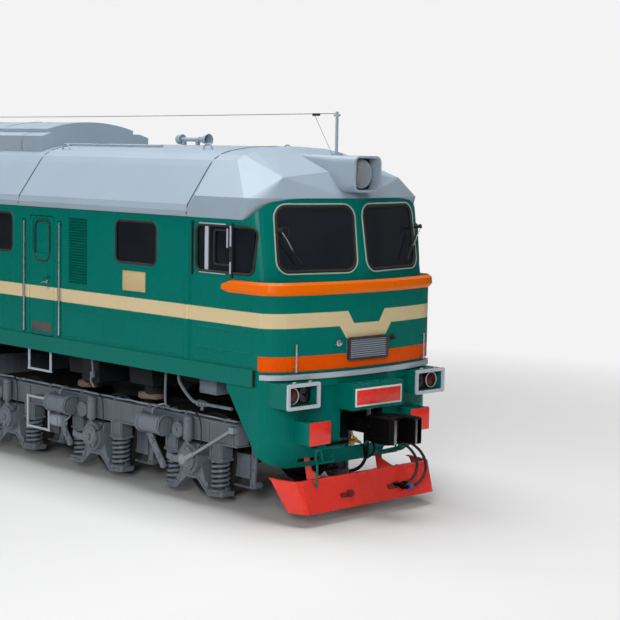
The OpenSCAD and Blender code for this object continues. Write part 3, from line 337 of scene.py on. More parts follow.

# %% [markdown]
# ## Painting the solids
# Each solid keeps its mesh and only gets a material. The imported meshes are flat shaded by face.

# %% Paint the solids
def paint(material, *names):
    for name in names:
        mesh = nodes[name].data
        mesh.materials.clear()
        mesh.materials.append(material)

both = ("front", "rear")
doors = [f"{end}_{side}_door" for end in both for side in ("right", "left")]
paint(green_livery, "side_walls", "front_cab", "rear_cab", "aprons", *doors)
paint(lamp_enamel, "marker_lamps")
# The underframe's near-black underside is partly painted shade.
paint(sill_enamel, "underframe")
paint(green_plain, "number_boxes", "side_louvres", "buffer_stubs")
paint(roof_grey, "cab_roofs", "roof_sections", "roof_hatch", "headlights", "horns", "antenna_masts")
paint(running_grey, "cooling_shutters", "fuel_tank", "nose_grilles")
# Reservoirs, ducts, cross beams, motors and wheelsets get the near-black that is partly painted shade.
paint(under_black_and_painted_shade, "air_reservoirs", "motor_air_ducts")
for end in both:
    paint(frame_grey, f"{end}_side_frames")
    for part in ("axle_boxes", "springs", "brakes"):
        paint(running_grey, f"{end}_{part}")
    for part in ("cross_beams", "motors", "wheelset_1", "wheelset_2", "wheelset_3"):
        paint(under_black_and_painted_shade, f"{end}_{part}")
    paint(black_enamel, f"{end}_coupler")
paint(light_grey, "nose_strips", "body_steps")
paint(bright_steel, "handrails")
paint(orange_enamel, "belt_mouldings")
paint(red_enamel, "snow_ploughs")
paint(black_enamel, "brake_cocks")
paint(hose_rubber, "brake_hoses")
paint(window_glass, "windscreens", "side_windows")
paint(cab_panel, "bulkheads", "driver_desks")
paint(cab_vinyl, "driver_seats")
paint(engine_paint, "engine")
print("painted", len(nodes), "solids")

# %% [markdown]
# ## Helpers for shapes
# Every new piece is one bmesh: blocks, drums and pipes are dropped into it, then it becomes an object
# that rides on its body.

# %% Shape helpers
def block(bm, low, high, bevel=0.0, segments=2):
    low, high = Vector(low), Vector(high)
    size = high - low
    place = Matrix.Translation((low + high) / 2) @ Matrix.Diagonal((*size, 1))
    made = bmesh.ops.create_cube(bm, size=1.0, matrix=place)["verts"]
    if bevel:
        edges = list({e for v in made for e in v.link_edges})
        bmesh.ops.bevel(bm, geom=edges, offset=bevel, offset_type="OFFSET", affect="EDGES",
                        segments=segments, profile=0.5, material=-1)

def aim(start, direction):
    return Matrix.Translation(start) @ direction.to_track_quat("Z", "Y").to_matrix().to_4x4()

def drum(bm, start, end, radius, end_radius=None, sides=32, bevel=0.0):
    start, end = Vector(start), Vector(end)
    along = end - start
    made = bmesh.ops.create_cone(bm, cap_ends=True, segments=sides, radius1=radius,
                                 radius2=radius if end_radius is None else end_radius,
                                 depth=along.length, matrix=aim((start + end) / 2, along))["verts"]
    if bevel:
        rims = [e for e in {e for v in made for e in v.link_edges}
                if any(len(f.verts) > 4 for f in e.link_faces)]
        bmesh.ops.bevel(bm, geom=rims, offset=bevel, offset_type="OFFSET", affect="EDGES",
                        segments=2, profile=0.5, material=-1)

def copies(bm, places):
    """Repeats everything in the bmesh at each further place."""
    first = bm.verts[:] + bm.edges[:] + bm.faces[:]
    for place in places[1:]:
        made = bmesh.ops.duplicate(bm, geom=first)["geom"]
        verts = [g for g in made if isinstance(g, bmesh.types.BMVert)]
        bmesh.ops.transform(bm, matrix=place, verts=verts)
    if places[0] != Matrix.Identity(4):
        own = [g for g in first if isinstance(g, bmesh.types.BMVert)]
        bmesh.ops.transform(bm, matrix=places[0], verts=own)

def piece(name, bm, material, body, slot, smooth=True):
    bmesh.ops.recalc_face_normals(bm, faces=bm.faces[:])
    mesh = bpy.data.meshes.new(name)
    bm.to_mesh(mesh)
    bm.free()
    made = bpy.data.objects.new(name, mesh)
    bpy.context.scene.collection.objects.link(made)
    mesh.materials.append(material)
    if smooth:
        for face in mesh.polygons:
            face.use_smooth = True
        with bpy.context.temp_override(object=made, active_object=made, selected_editable_objects=[made],
                                       selected_objects=[made]):
            bpy.ops.object.shade_smooth_by_angle(angle=radians(35))
    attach(made, body)
    print(f"{name}: {len(mesh.polygons)} faces on {body}")
    return made

def rounded_loop(wide, tall, radius, place, steps=6):
    """Points round a rounded rectangle, in the plane that place carries."""
    points = []
    for sx, sy, turn in ((1, 1, 0), (-1, 1, 1), (-1, -1, 2), (1, -1, 3)):
        for k in range(steps + 1):
            angle = (turn + k / steps) * pi / 2
            points.append(place @ Vector((sx * (wide / 2 - radius) + radius * cos(angle),
                                          sy * (tall / 2 - radius) + radius * sin(angle), 0)))
    return points
print("shape helpers ready")

# %% [markdown]
# ## Sweeps, bolts and surfaces
# Pipes, strips and gaskets are all one thing: an outline carried along a line. The outline is a circle
# (or an ellipse, or a rectangle of four sides) extruded ring by ring, each ring set square to the line.
# To lie on a curved skin, a line is first dropped onto the solid by a ray.

# %% Sweep, bolts, rays
from mathutils.bvhtree import BVHTree

def sweep(bm, points, wide, high=None, ups=None, sides=10, closed=False):
    points = [Vector(p) for p in points]
    count = len(points)
    frames, side = [], None
    for i, point in enumerate(points):
        before = points[i - 1] if i or closed else point
        after = points[(i + 1) % count] if i + 1 < count or closed else point
        along = (after - before).normalized()
        if ups:
            side = Vector(ups[i]).cross(along).normalized()
        else:
            side = side or along.orthogonal()
            side = (side - along * side.dot(along)).normalized()
        turned = Matrix((side, along.cross(side), along)).transposed().to_4x4()
        frames.append(Matrix.Translation(point) @ turned)
    grow, spin = (2 ** 0.5, pi / 4) if sides == 4 else (1, 0)
    size = Matrix.Diagonal((wide / 2 * grow, (high or wide) / 2 * grow, 1, 1))
    outline = size @ Matrix.Rotation(spin, 4, "Z")
    first = bmesh.ops.create_circle(bm, cap_ends=not closed, segments=sides, radius=1,
                                    matrix=frames[0] @ outline)["verts"]
    edges = list({e for v in first for e in v.link_edges if e.other_vert(v) in first})
    verts = first
    for here, there in zip(frames, frames[1:] + frames[:1] * closed):
        made = bmesh.ops.extrude_edge_only(bm, edges=edges)["geom"]
        verts = [g for g in made if isinstance(g, bmesh.types.BMVert)]
        fresh = set(verts)
        edges = [g for g in made if isinstance(g, bmesh.types.BMEdge) and set(g.verts) <= fresh]
        bmesh.ops.transform(bm, matrix=there @ here.inverted(), verts=verts)
    if closed:
        bmesh.ops.remove_doubles(bm, verts=first + verts, dist=1e-4)
    else:
        bmesh.ops.edgeloop_fill(bm, edges=edges)

def smooth_path(points, steps):
    """A Catmull-Rom line through the points."""
    points = [Vector(p) for p in points]
    ends = [points[0] * 2 - points[1]] + points + [points[-1] * 2 - points[-2]]
    line = []
    for a, b, c, d in zip(ends, ends[1:], ends[2:], ends[3:]):
        for k in range(steps):
            t = k / steps
            line.append((b * 2 + (c - a) * t + (a * 2 - b * 5 + c * 4 - d) * t ** 2
                         + (b * 3 - a - c * 3 + d) * t ** 3) / 2)
    return line + [points[-1]]

def bolts(bm, places, direction, radius=0.012, tall=0.010, sides=6):
    for place in places:
        drum(bm, Vector(place), Vector(place) + Vector(direction).normalized() * tall, radius, sides=sides)

def ring(count, radius, centre, axis="Y", start=0.0):
    turns = [start + tau * k / count for k in range(count)]
    across = Vector((0, radius, 0) if axis == "X" else (radius, 0, 0))
    along = Vector((0, radius, 0) if axis == "Z" else (0, 0, radius))
    return [Vector(centre) + across * cos(a) + along * sin(a) for a in turns]

skins = {}
def onto(name, start, direction):
    """The point and normal where a ray meets a solid."""
    if name not in skins:
        mesh = nodes[name].data
        faces = [p.vertices[:] for p in mesh.polygons]
        skins[name] = BVHTree.FromPolygons([v.co for v in mesh.vertices], faces)
    place, normal = skins[name].ray_cast(Vector(start), Vector(direction))[:2]
    return place, normal
OUT, UP, AHEAD = (0, -1, 0), (0, 0, 1), (1, 0, 0)

def strip(bm, points, wide, high, out=OUT, sides=4):
    """A flat bar along a line, its face turned to one side."""
    sweep(bm, points, wide, high, [out] * len(points), sides)

def gasket(bm, loop, wide, high, out=OUT, sides=8):
    sweep(bm, loop, wide, high, [out] * len(loop), sides, closed=True)

def pipe(bm, points, thick, steps=4, sides=12):
    sweep(bm, smooth_path(points, steps), thick, sides=sides)

def hoop(bm, radius, centre, thick, axis="Y", count=32, sides=8):
    sweep(bm, ring(count, radius, centre, axis), thick, sides=sides, closed=True)

def nose_place(x, z):
    """Local X runs across, local Y up and local Z ahead of the nose."""
    return Matrix.Translation((x, 0, z)) @ Matrix.Rotation(pi / 2, 4, "Y") @ Matrix.Rotation(pi / 2, 4, "Z")

print("sweeps ready")

# %% [markdown]
# ## Brake hoses
# Two rubber air hoses hang from the cocks beside the coupler and hook onto the plough by their heads.
# Each is a round sweep of 36 mm reinforced
# rubber, with a painted clamp near the top (red for one line, blue for the other) and an iron head.

# %% Brake hoses
ROUTES = [
    [[8420, 440, 880], [8432, 440, 880], [8458, 451, 875], [8490, 475, 862], [8525, 520, 838],
     [8555, 570, 800], [8578, 620, 752], [8592, 662, 700], [8600, 695, 645], [8604, 715, 588],
     [8604, 722, 530], [8602, 712, 473], [8598, 686, 422], [8592, 645, 380], [8584, 595, 350],
     [8576, 540, 332], [8570, 485, 322]],
    [[8420, 560, 880], [8432, 560, 880], [8462, 576, 873], [8496, 608, 858], [8532, 655, 830],
     [8562, 708, 790], [8586, 760, 740], [8604, 805, 684], [8614, 840, 622], [8620, 862, 556],
     [8620, 868, 490], [8616, 856, 425], [8608, 826, 368], [8598, 780, 322], [8586, 725, 292],
     [8576, 665, 276], [8570, 605, 270]]]
HOSE_D = 0.036
hose_lengths = []
clamp_red = enamel("red clamp enamel", "#b01810", 0.4, 0.2, 0.2)
clamp_blue = enamel("blue clamp enamel", "#1565c0", 0.4, 0.2, 0.2)
for end, turn in zip(both, ENDS):
    for number, (route, clamp_paint) in enumerate(zip(ROUTES, (clamp_red, clamp_blue)), 1):
        path = smooth_path([turn @ Vector((x / 1000, y / 1000, h(z / 1000))) for x, y, z in route], 3)
        length = sum((b - a).length for a, b in zip(path, path[1:]))
        hose_lengths.append(length)
        bm = bmesh.new()
        sweep(bm, path, HOSE_D, sides=16)
        hose = piece(f"{end}_brake_hose_{number}", bm, hose_rubber, "body", "hose_rubber")
        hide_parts("brake_hoses")
        bm = bmesh.new()
        for at, size in ((5, 0.052), (8, 0.046)):
            drum(bm, path[at], path[at + 1], size / 2, bevel=0.003)
        bolts(bm, [path[5] + Vector((0, 0, 0.022))], (0, 0, 1), 0.008, 0.012)
        clamp = piece(f"{end}_hose_clamp_{number}", bm, clamp_paint, "body", "signal_red")
        bm = bmesh.new()
        last, before = path[-1], path[-3]
        out = (last - before).normalized()
        drum(bm, last - out * 0.075, last - out * 0.012, 0.026, bevel=0.003)
        drum(bm, last - out * 0.030, last - out * 0.014, 0.034, bevel=0.004)
        drum(bm, path[0], path[2], 0.027, bevel=0.003)
        block(bm, last - Vector((0.018, 0.030, 0.040)), last - Vector((-0.018, 0.004, -0.012)), 0.004)
        head = piece(f"{end}_hose_head_{number}", bm, black_enamel if number == 1 else clamp_blue,
                     "body", "coupler_black")
        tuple(path[0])
print("hoses:", [round(v, 3) for v in hose_lengths], "m")

# %% [markdown]
# ## Windscreens
# Each pane sits in a pressed recess, held by a black rubber gasket with a light bead round it. The
# outline is a rounded rectangle on the screen's own plane, dropped onto the bowed nose so that it
# follows the steel.

# %% Windscreen frames
def screen_place(side):
    lean = atan2(0.150, 1.015)
    middle = Vector((8.30 - 0.150 * 0.525 / 1.015 - 0.108, side * 0.645, h(3.425)))
    return (Matrix.Translation(middle) @ Matrix.Rotation(side * radians(11.5), 4, "Z")
            @ Matrix.Rotation(pi / 2 - lean, 4, "Y") @ Matrix.Rotation(pi / 2, 4, "Z"))

def on_nose(points, place, lift=0.0):
    out = (place.to_3x3() @ Vector((0, 0, 1))).normalized()
    found = [onto("front_cab", p + out * 0.5, -out) for p in points]
    return [(q or p) + out * lift for p, (q, n) in zip(points, found)], [out] * len(points)

beads, rubbers = bmesh.new(), bmesh.new()
for side in (-1, 1):
    place = screen_place(side)
    outer, ups = on_nose(rounded_loop(1.172, 0.852, 0.17, place, 8), place, 0.006)
    sweep(beads, outer, 0.020, 0.018, ups, 8, closed=True)
    rim, ups = on_nose(rounded_loop(1.112, 0.792, 0.14, place, 8), place, 0.002)
    sweep(rubbers, rim, 0.034, 0.030, ups, 8, closed=True)
    inner = [p - ups[0] * 0.020 for p in on_nose(rounded_loop(1.106, 0.786, 0.138, place, 8), place)[0]]
    sweep(rubbers, inner, 0.044, 0.040, ups, 4, closed=True)
copies(beads, ENDS)
copies(rubbers, ENDS)
bead_paint = enamel("ivory bead enamel", "#a7b0a4", 0.32, 0.3, 0.0)
piece("windscreen_beads", beads, bead_paint, "body", "trim_light")
piece("windscreen_rubbers", rubbers, black_rubber, "body", "hose_rubber")

# %% [markdown]
# ## Wipers
# A wiper is a spindle through the nose sheet, a bright pressed arm, a black blade, and a thin parallel
# rod that keeps the blade upright. The arms are bent flat bars, so they are swept rectangles whose
# flat side faces the glass.

# %% Wipers
bright, dark = bmesh.new(), bmesh.new()
for side in (-1, 1):
    place = screen_place(side)
    def at(x, y, z):
        return place @ Vector((side * x, y, z))
    out = (place.to_3x3() @ Vector((0, 0, 1))).normalized()
    drum(dark, at(0.568, 0.10, 0.02), at(0.568, 0.10, 0.115), 0.020, bevel=0.003)
    drum(dark, at(0.568, 0.10, 0.100), at(0.568, 0.10, 0.125), 0.030, bevel=0.004)
    arm = [at(0.568, 0.10, 0.118), at(0.48, -0.02, 0.112), at(0.40, -0.14, 0.085)]
    strip(bright, arm, 0.016, 0.010, out, 8)
    strip(dark, [at(0.53, 0.03, 0.070), at(0.40, -0.14, 0.066), at(0.27, -0.31, 0.062)], 0.012, 0.024, out)
    sweep(dark, [at(0.560, 0.13, 0.09), at(0.43, 0.13, 0.08), at(0.44, 0.02, 0.078)], 0.010, sides=8)
copies(bright, ENDS)
copies(dark, ENDS)
piece("wiper_arms", bright, bright_steel, "body", "trim_light")
piece("wiper_blades", dark, black_rubber, "body", "hose_rubber")

# %% [markdown]
# ## Side windows
# Body side windows are fixed panes in a deep pressed ring with a rubber seal. Ring and seal are both
# a rounded rectangle swept round the opening, the ring wider and flatter than the seal.

# %% Side window rings
WINDOW_Z = h(3.2675)
WINDOW_WIDE, WINDOW_TALL, WINDOW_CORNER = 0.855, 0.535, 0.085
WINDOW_XS = (5.56, 2.25, 0.62, -0.62, -2.25)
LAST_WINDOW_X = -5.56

def wall_place(x, z, y=-WALL_Y):
    """Local X runs forward, local Y up and local Z out of the right-hand wall."""
    return Matrix.Translation((x, y, z)) @ Matrix.Rotation(pi / 2, 4, "X")

def window_loop(x, grow, lift=0.0):
    return rounded_loop(WINDOW_WIDE + grow, WINDOW_TALL + grow, WINDOW_CORNER + grow / 2,
                        wall_place(x, WINDOW_Z, -WALL_Y - lift), 8)

rings, seals = bmesh.new(), bmesh.new()
for x in WINDOW_XS:
    gasket(rings, window_loop(x, 0.060), 0.030, 0.016)
    gasket(seals, window_loop(x, 0.012, 0.001), 0.034, 0.024)
copies(rings, SIDES)
copies(seals, SIDES)
for flip in SIDES:
    outwards = flip.to_3x3() @ Vector(OUT)
    gasket(rings, [flip @ p for p in window_loop(LAST_WINDOW_X, 0.060)], 0.030, 0.016, outwards)
    gasket(seals, [flip @ p for p in window_loop(LAST_WINDOW_X, 0.012)], 0.034, 0.024, outwards)
piece("side_window_rings", rings, green_plain, "body", "body_green")
piece("side_window_seals", seals, black_rubber, "body", "hose_rubber")

# %% [markdown]
# ## Cab side windows
# The driver's side window slides. It has a rubber all round that follows the cab sheet, a black guide
# rail before and behind, one light pillar, and a sash with bright handles.

# %% Cab side windows
dark, light = bmesh.new(), bmesh.new()
skinned = []
for p in rounded_loop(1.075, 0.570, 0.090, wall_place(7.335, h(3.2775)), 8):
    place, normal = onto("front_cab", p + Vector(OUT), (0, 1, 0))
    skinned.append((place or p) + Vector((0, -0.002, 0)))
gasket(dark, skinned, 0.036, 0.030)
for x in (6.726, 7.492):
    strip(dark, [(x, -1.462, h(2.94)), (x, -1.462, h(3.60))], 0.022, 0.026)
strip(light, [(6.985, -1.436, h(2.99)), (6.985, -1.436, h(3.565))], 0.062, 0.022)
for low, high in ((2.985, 3.13), (3.32, 3.57)):
    sweep(light, [(7.475, -1.474, h(low)), (7.475, -1.474, h(high))], 0.024)
sweep(light, [(7.40, -1.462, h(3.30)), (7.40, -1.462, h(3.535))], 0.022)
gasket(dark, rounded_loop(0.300, 0.420, 0.04, wall_place(7.300, h(3.30), -1.452), 4), 0.022, 0.020, sides=4)
for z in (2.975, 3.582):
    strip(light, [(6.86, -1.456, h(z)), (7.36, -1.456, h(z))], 0.014, 0.012)
for bm in (dark, light):
    copies(bm, CORNERS)
piece("cab_window_rubbers", dark, black_rubber, "body", "hose_rubber")
piece("cab_window_bars", light, light_grey, "body", "trim_light")

# %% [markdown]
# ## Pressed ribs and the joint cover
# The sheet of the side is stiffened by thin pressed ribs, and the cab is bolted to the body under a
# rounded cover strip. A rib is a low oval bar half sunk in the wall. On the curved cab sheet its line
# is dropped onto the solid first.

# %% Ribs and joint covers
RIB_START, RIB_POINTS = 6.79, 12
ribs = bmesh.new()

def rib(bm, x0, x1, z, tall):
    strip(bm, [(x0, -WALL_Y, h(z)), (x1, -WALL_Y, h(z))], tall, 0.012, sides=8)

for z in (2.352, 2.592, 2.285):
    rib(ribs, 3.93, 6.55, z, 0.012)
    rib(ribs, 0.10, 2.84, z, 0.012)
rib(ribs, 3.93, 6.58, 1.905, 0.016)
for z, rib_end in ((2.548, 7.70), (2.30, 7.78), (2.046, 7.86), (1.90, 7.88)):
    xs = [RIB_START + (rib_end - RIB_START) * k / (RIB_POINTS - 1) for k in range(RIB_POINTS)]
    strip(ribs, [onto("front_cab", (x, -3, h(z)), (0, 1, 0))[0] for x in xs], 0.020, 0.016, sides=8)
COVER_Y = -WALL_Y - 0.002
strip(ribs, [(6.62, COVER_Y, h(1.86)), (6.62, COVER_Y, h(3.64))], 0.085, 0.034, sides=12)
strip(ribs, [(6.70, -WALL_Y, h(1.86)), (6.70, -WALL_Y, h(3.62))], 0.016, 0.014, sides=8)
copies(ribs, CORNERS)
piece("pressed_ribs", ribs, green_livery, "body", "body_green")

# %% [markdown]
# ## Roof seams and drip line
# The roof sections are lifted off for repairs, so each joint is a dark line of sealing compound over
# the arch. The line is found by rays from outside, a little beside the joint where the sheet is whole.

# %% Roof seams and drip line
seams = bmesh.new()
for x, aside, wide in ((2.86, 0.03, 0.016), (6.62, -0.03, 0.022)):
    points = []
    for k in range(41):
        angle = -pi / 2 + pi * k / 40
        aim_at = Vector((0, sin(angle), cos(angle)))
        start = Vector((x + aside, 0, h(3.2))) + aim_at * 4
        place, normal = onto("roof_sections", start, -aim_at)
        if place and place.z > h(3.64):
            points.append((place - Vector((aside, 0, 0)), normal))
    sweep(seams, [p for p, n in points], wide, 0.010, [n for p, n in points], 4)
copies(seams, ENDS)
piece("roof_seams", seams, black_rubber, "body", "hose_rubber")

drip = bmesh.new()
DRIP_Y = -WALL_Y - 0.006
strip(drip, [(-6.6, DRIP_Y, h(3.652)), (6.6, DRIP_Y, h(3.652))], 0.016, 0.014)
copies(drip, SIDES)
piece("roof_drip_line", drip, black_rubber, "body", "hose_rubber")

# %% [markdown]
# ## Door fittings
# The body door is a steel leaf. It has a small window with rounded ends in a rubber seal, a lever
# handle, and a rubber kick plate. They ride with the leaf. Each is modelled on the front right door
# and carried to the other three.

# %% Door fittings
DOORS = {"front_right_door": Matrix.Identity(4), "front_left_door": MIRROR_Y,
         "rear_right_door": MIRROR_X, "rear_left_door": TURN}
PANE_X = 3.42
face = onto("front_right_door", (3.30, -3, h(2.40)), (0, 1, 0))[0].y
for name, flip in DOORS.items():
    seal, handle, plate = bmesh.new(), bmesh.new(), bmesh.new()
    pane_place = wall_place(PANE_X, h(3.18), face - 0.001)
    gasket(seal, rounded_loop(0.360, 0.560, 0.110, pane_place, 8), 0.026, 0.022)
    drum(handle, (3.565, face, h(2.62)), (3.565, face - 0.034, h(2.62)), 0.026, bevel=0.004)
    grip_y = face - 0.036
    strip(handle, [(3.565, face - 0.030, h(2.62)), (3.50, grip_y, h(2.615)), (3.46, grip_y, h(2.60))],
          0.020, 0.014, sides=8)
    drum(handle, (3.58, face, h(2.53)), (3.58, face - 0.012, h(2.53)), 0.014, bevel=0.002)
    block(plate, (3.17, face - 0.005, h(1.905)), (3.65, face + 0.001, h(2.045)), 0.004)
    screws = [(x, face - 0.004, h(z)) for x in (3.19, 3.41, 3.63) for z in (1.925, 2.025)]
    bolts(plate, screws, OUT, 0.008, 0.004, 8)
    for bm in (seal, handle, plate):
        bmesh.ops.transform(bm, matrix=flip, verts=bm.verts[:])
    piece(f"{name}_seal", seal, black_rubber, name, "hose_rubber")
    piece(f"{name}_handle", handle, bright_steel, name, "trim_light")
    piece(f"{name}_kick_plate", plate, tread_plate, name, "hose_rubber")

# %% [markdown]
# ## Plates on the side
# A cast plate on each side is painted buff and screwed on at its corners. It is left blank: a bevelled
# slab with a raised border.

# %% Buff plates
bm = bmesh.new()
PLATE_Y = -WALL_Y - 0.008
block(bm, (5.290, PLATE_Y, h(2.63)), (5.770, -WALL_Y + 0.001, h(2.89)), 0.003)
gasket(bm, rounded_loop(0.462, 0.242, 0.01, wall_place(5.53, h(2.76), PLATE_Y), 2), 0.010, 0.006, sides=4)
corners = [(5.53 + sx * 0.215, PLATE_Y, h(2.76 + sz * 0.105)) for sx in (-1, 1) for sz in (-1, 1)]
bolts(bm, corners, OUT, 0.007, 0.004, 8)
copies(bm, ENDS)
piece("side_plates", bm, sign_plate, "body", "trim_light")

# %% [markdown]
# ## Marker lamps
# Each lamp box has a light frame. Inside are a red lens with moulded rings outboard, and a bowl
# reflector with its bulb inboard. Lens and bowl are turned shapes, so they are short drums.

# %% Marker lamps
lens, mirrors, hinges, insides = bmesh.new(), bmesh.new(), bmesh.new(), bmesh.new()
LAMP_Y, LAMP_Z = 1.112, h(1.5675)
LAMP_INSIDE = Vector((0.005, 0.222, 0.112))
for s in (-1, 1):
    middle = Vector((8.295, s * LAMP_Y, LAMP_Z))
    block(insides, middle - LAMP_INSIDE, middle + LAMP_INSIDE, 0.002)
    y = s * (LAMP_Y + 0.110)
    drum(lens, (8.300, y, LAMP_Z), (8.350, y, LAMP_Z), 0.096, 0.090, 40, bevel=0.010)
    for radius in (0.070, 0.045, 0.020):
        hoop(lens, radius, (8.351, y, LAMP_Z), 0.008, "X", 28, 6)
    hoop(hinges, 0.098, (8.352, y, LAMP_Z), 0.014, "X", 36)
    y = s * (LAMP_Y - 0.110)
    drum(mirrors, (8.302, y, LAMP_Z), (8.330, y, LAMP_Z), 0.040, 0.098, 40)
    drum(mirrors, (8.330, y, LAMP_Z), (8.372, y, LAMP_Z), 0.018, 0.010, 16, bevel=0.003)
    for dy in (-0.13, 0.13):
        y, z = s * LAMP_Y + dy, LAMP_Z + 0.164
        drum(hinges, (8.40, y - 0.022, z), (8.40, y + 0.022, z), 0.012, bevel=0.002)
for bm in (lens, mirrors, hinges, insides):
    copies(bm, ENDS)
piece("marker_lenses", lens, red_glass, "body", "signal_red")
# The reflectors' dark metal is painted shade.
piece("marker_reflectors", mirrors, dark_silver, "body", "trim_light")
piece("marker_hinges", hinges, light_grey, "body", "trim_light")
piece("marker_insides", insides, dark_inside, "body", "coupler_black")

# %% [markdown]
# ## Number plates and stub faces
# The box under the nose carries an enamel plate, here blank: red with a white border. The old buffer
# stubs have a red face. Both are thin bevelled slabs on the solids.

# %% Number plates, box lids, stub faces
white, red, lids = bmesh.new(), bmesh.new(), bmesh.new()
STUB_Y, STUB_HALF = 0.88, 0.1722
block(white, (8.588, -0.400, h(1.385)), (8.600, 0.412, h(1.612)), 0.004)
block(red, (8.590, -0.378, h(1.407)), (8.604, 0.390, h(1.590)), 0.004)
for s in (-1, 1):
    y = s * STUB_Y
    block(red, (8.484, y - STUB_HALF, h(0.9598)), (8.4925, y + STUB_HALF, h(1.2402)), 0.003)
    bolts(lids, [(8.47, y + dy, h(1.244)) for dy in (-0.15, 0.15)], UP, 0.010, 0.008)
for y in (-0.30, 0.0, 0.30):
    block(lids, (8.50, y - 0.035, h(1.655)), (8.585, y + 0.035, h(1.682)), 0.008)
gasket(lids, rounded_loop(0.87, 0.30, 0.02, nose_place(8.590, h(1.505)), 3), 0.016, 0.012, AHEAD, 4)
for bm in (white, red, lids):
    copies(bm, ENDS)
piece("number_plate_borders", white, white_enamel, "body", "trim_light")
piece("number_plates_and_stub_faces", red, red_enamel, "body", "signal_red")
piece("box_lids", lids, green_plain, "body", "body_green")

# %% [markdown]
# ## Nose grille, knob and socket
# The grille lets air to the cab heater through nine level bars. Beside it are a bright cap and a
# rubber socket. Their places on the curved nose come from rays.

# %% Nose grille, knob and sockets
bars, frames, knobs, sockets = bmesh.new(), bmesh.new(), bmesh.new(), bmesh.new()
gasket(frames, rounded_loop(0.668, 0.255, 0.02, nose_place(8.400, h(2.0775)), 3), 0.034, 0.030, AHEAD, 4)
for k in range(9):
    z = h(1.970 + k * 0.0268)
    strip(bars, [(8.404, -0.315, z), (8.404, 0.315, z)], 0.010, 0.020, AHEAD, 6)
bolts(frames, [(8.412, y, h(z)) for y in (-0.33, 0.33) for z in (1.955, 2.20)], AHEAD, 0.009, 0.008)
place, normal = onto("front_cab", (9.5, -0.48, h(2.162)), (-1, 0, 0))
drum(knobs, place - normal * 0.01, place + normal * 0.035, 0.046, 0.042, bevel=0.006)
drum(knobs, place + normal * 0.030, place + normal * 0.062, 0.030, bevel=0.010)
place, normal = onto("front_cab", (9.5, 0.475, h(2.172)), (-1, 0, 0))
drum(sockets, place - normal * 0.01, place + normal * 0.020, 0.040, bevel=0.004)
drum(sockets, place + normal * 0.010, place + normal * 0.050, 0.024, 0.018, bevel=0.004)
for bm in (bars, frames, knobs, sockets):
    copies(bm, ENDS)
piece("grille_bars", bars, light_grey, "body", "trim_light")
piece("grille_frames", frames, dark_inside, "body", "coupler_black")
piece("nose_knobs", knobs, bright_steel, "body", "trim_light")
piece("nose_sockets", sockets, black_rubber, "body", "hose_rubber")

# %% [markdown]
# ## Headlight
# A deep round reflector behind a clear fluted glass, held in the housing by a rounded bezel. The
# flutes are thin upright ribs, each as long as the circle is tall at its place.

# %% Headlight
bezel, dish, front_glass, backs = bmesh.new(), bmesh.new(), bmesh.new(), bmesh.new()
LIGHT_Z, FLUTE_R = h(4.215), 0.150
gasket(bezel, rounded_loop(0.436, 0.416, 0.075, nose_place(8.334, LIGHT_Z), 8), 0.026, 0.020, AHEAD)
block(backs, (8.150, -0.200, LIGHT_Z - 0.190), (8.158, 0.200, LIGHT_Z + 0.190), 0.002)
drum(dish, (8.160, 0, LIGHT_Z), (8.215, 0, LIGHT_Z), 0.060, 0.165, 48)
drum(dish, (8.170, 0, LIGHT_Z), (8.235, 0, LIGHT_Z), 0.024, 0.014, 16, bevel=0.004)
sweep(bezel, ring(48, 0.168, (8.222, 0, LIGHT_Z), "X"), 0.024, 0.030, None, 8, closed=True)
drum(front_glass, (8.224, 0, LIGHT_Z), (8.234, 0, LIGHT_Z), 0.160, 0.150, 48, bevel=0.003)
for k in range(7):
    y = -0.12 + 0.04 * k
    reach = (FLUTE_R ** 2 - y * y) ** 0.5
    sweep(front_glass, [(8.236, y, LIGHT_Z - reach), (8.236, y, LIGHT_Z + reach)], 0.010, sides=6)
for bm in (bezel, dish, front_glass, backs):
    copies(bm, ENDS)
piece("headlight_bezels", bezel, roof_grey, "body", "roof_grey")
piece("headlight_backs", backs, dark_inside, "body", "coupler_black")
piece("headlight_reflectors", dish, mirror_silver, "body", "trim_light")
piece("headlight_glasses", front_glass, clear_glass, "body", "glazing")

# %% [markdown]
# ## Coupler
# The automatic coupler is a black steel casting. The solid gives its jaw. Ribs, the lock pin and the
# shank's rivets are added, and two bare faces where it rubs. They swing with it.

# %% Coupler castings
def at_end(bm, turn):
    bmesh.ops.transform(bm, matrix=turn, verts=bm.verts[:])

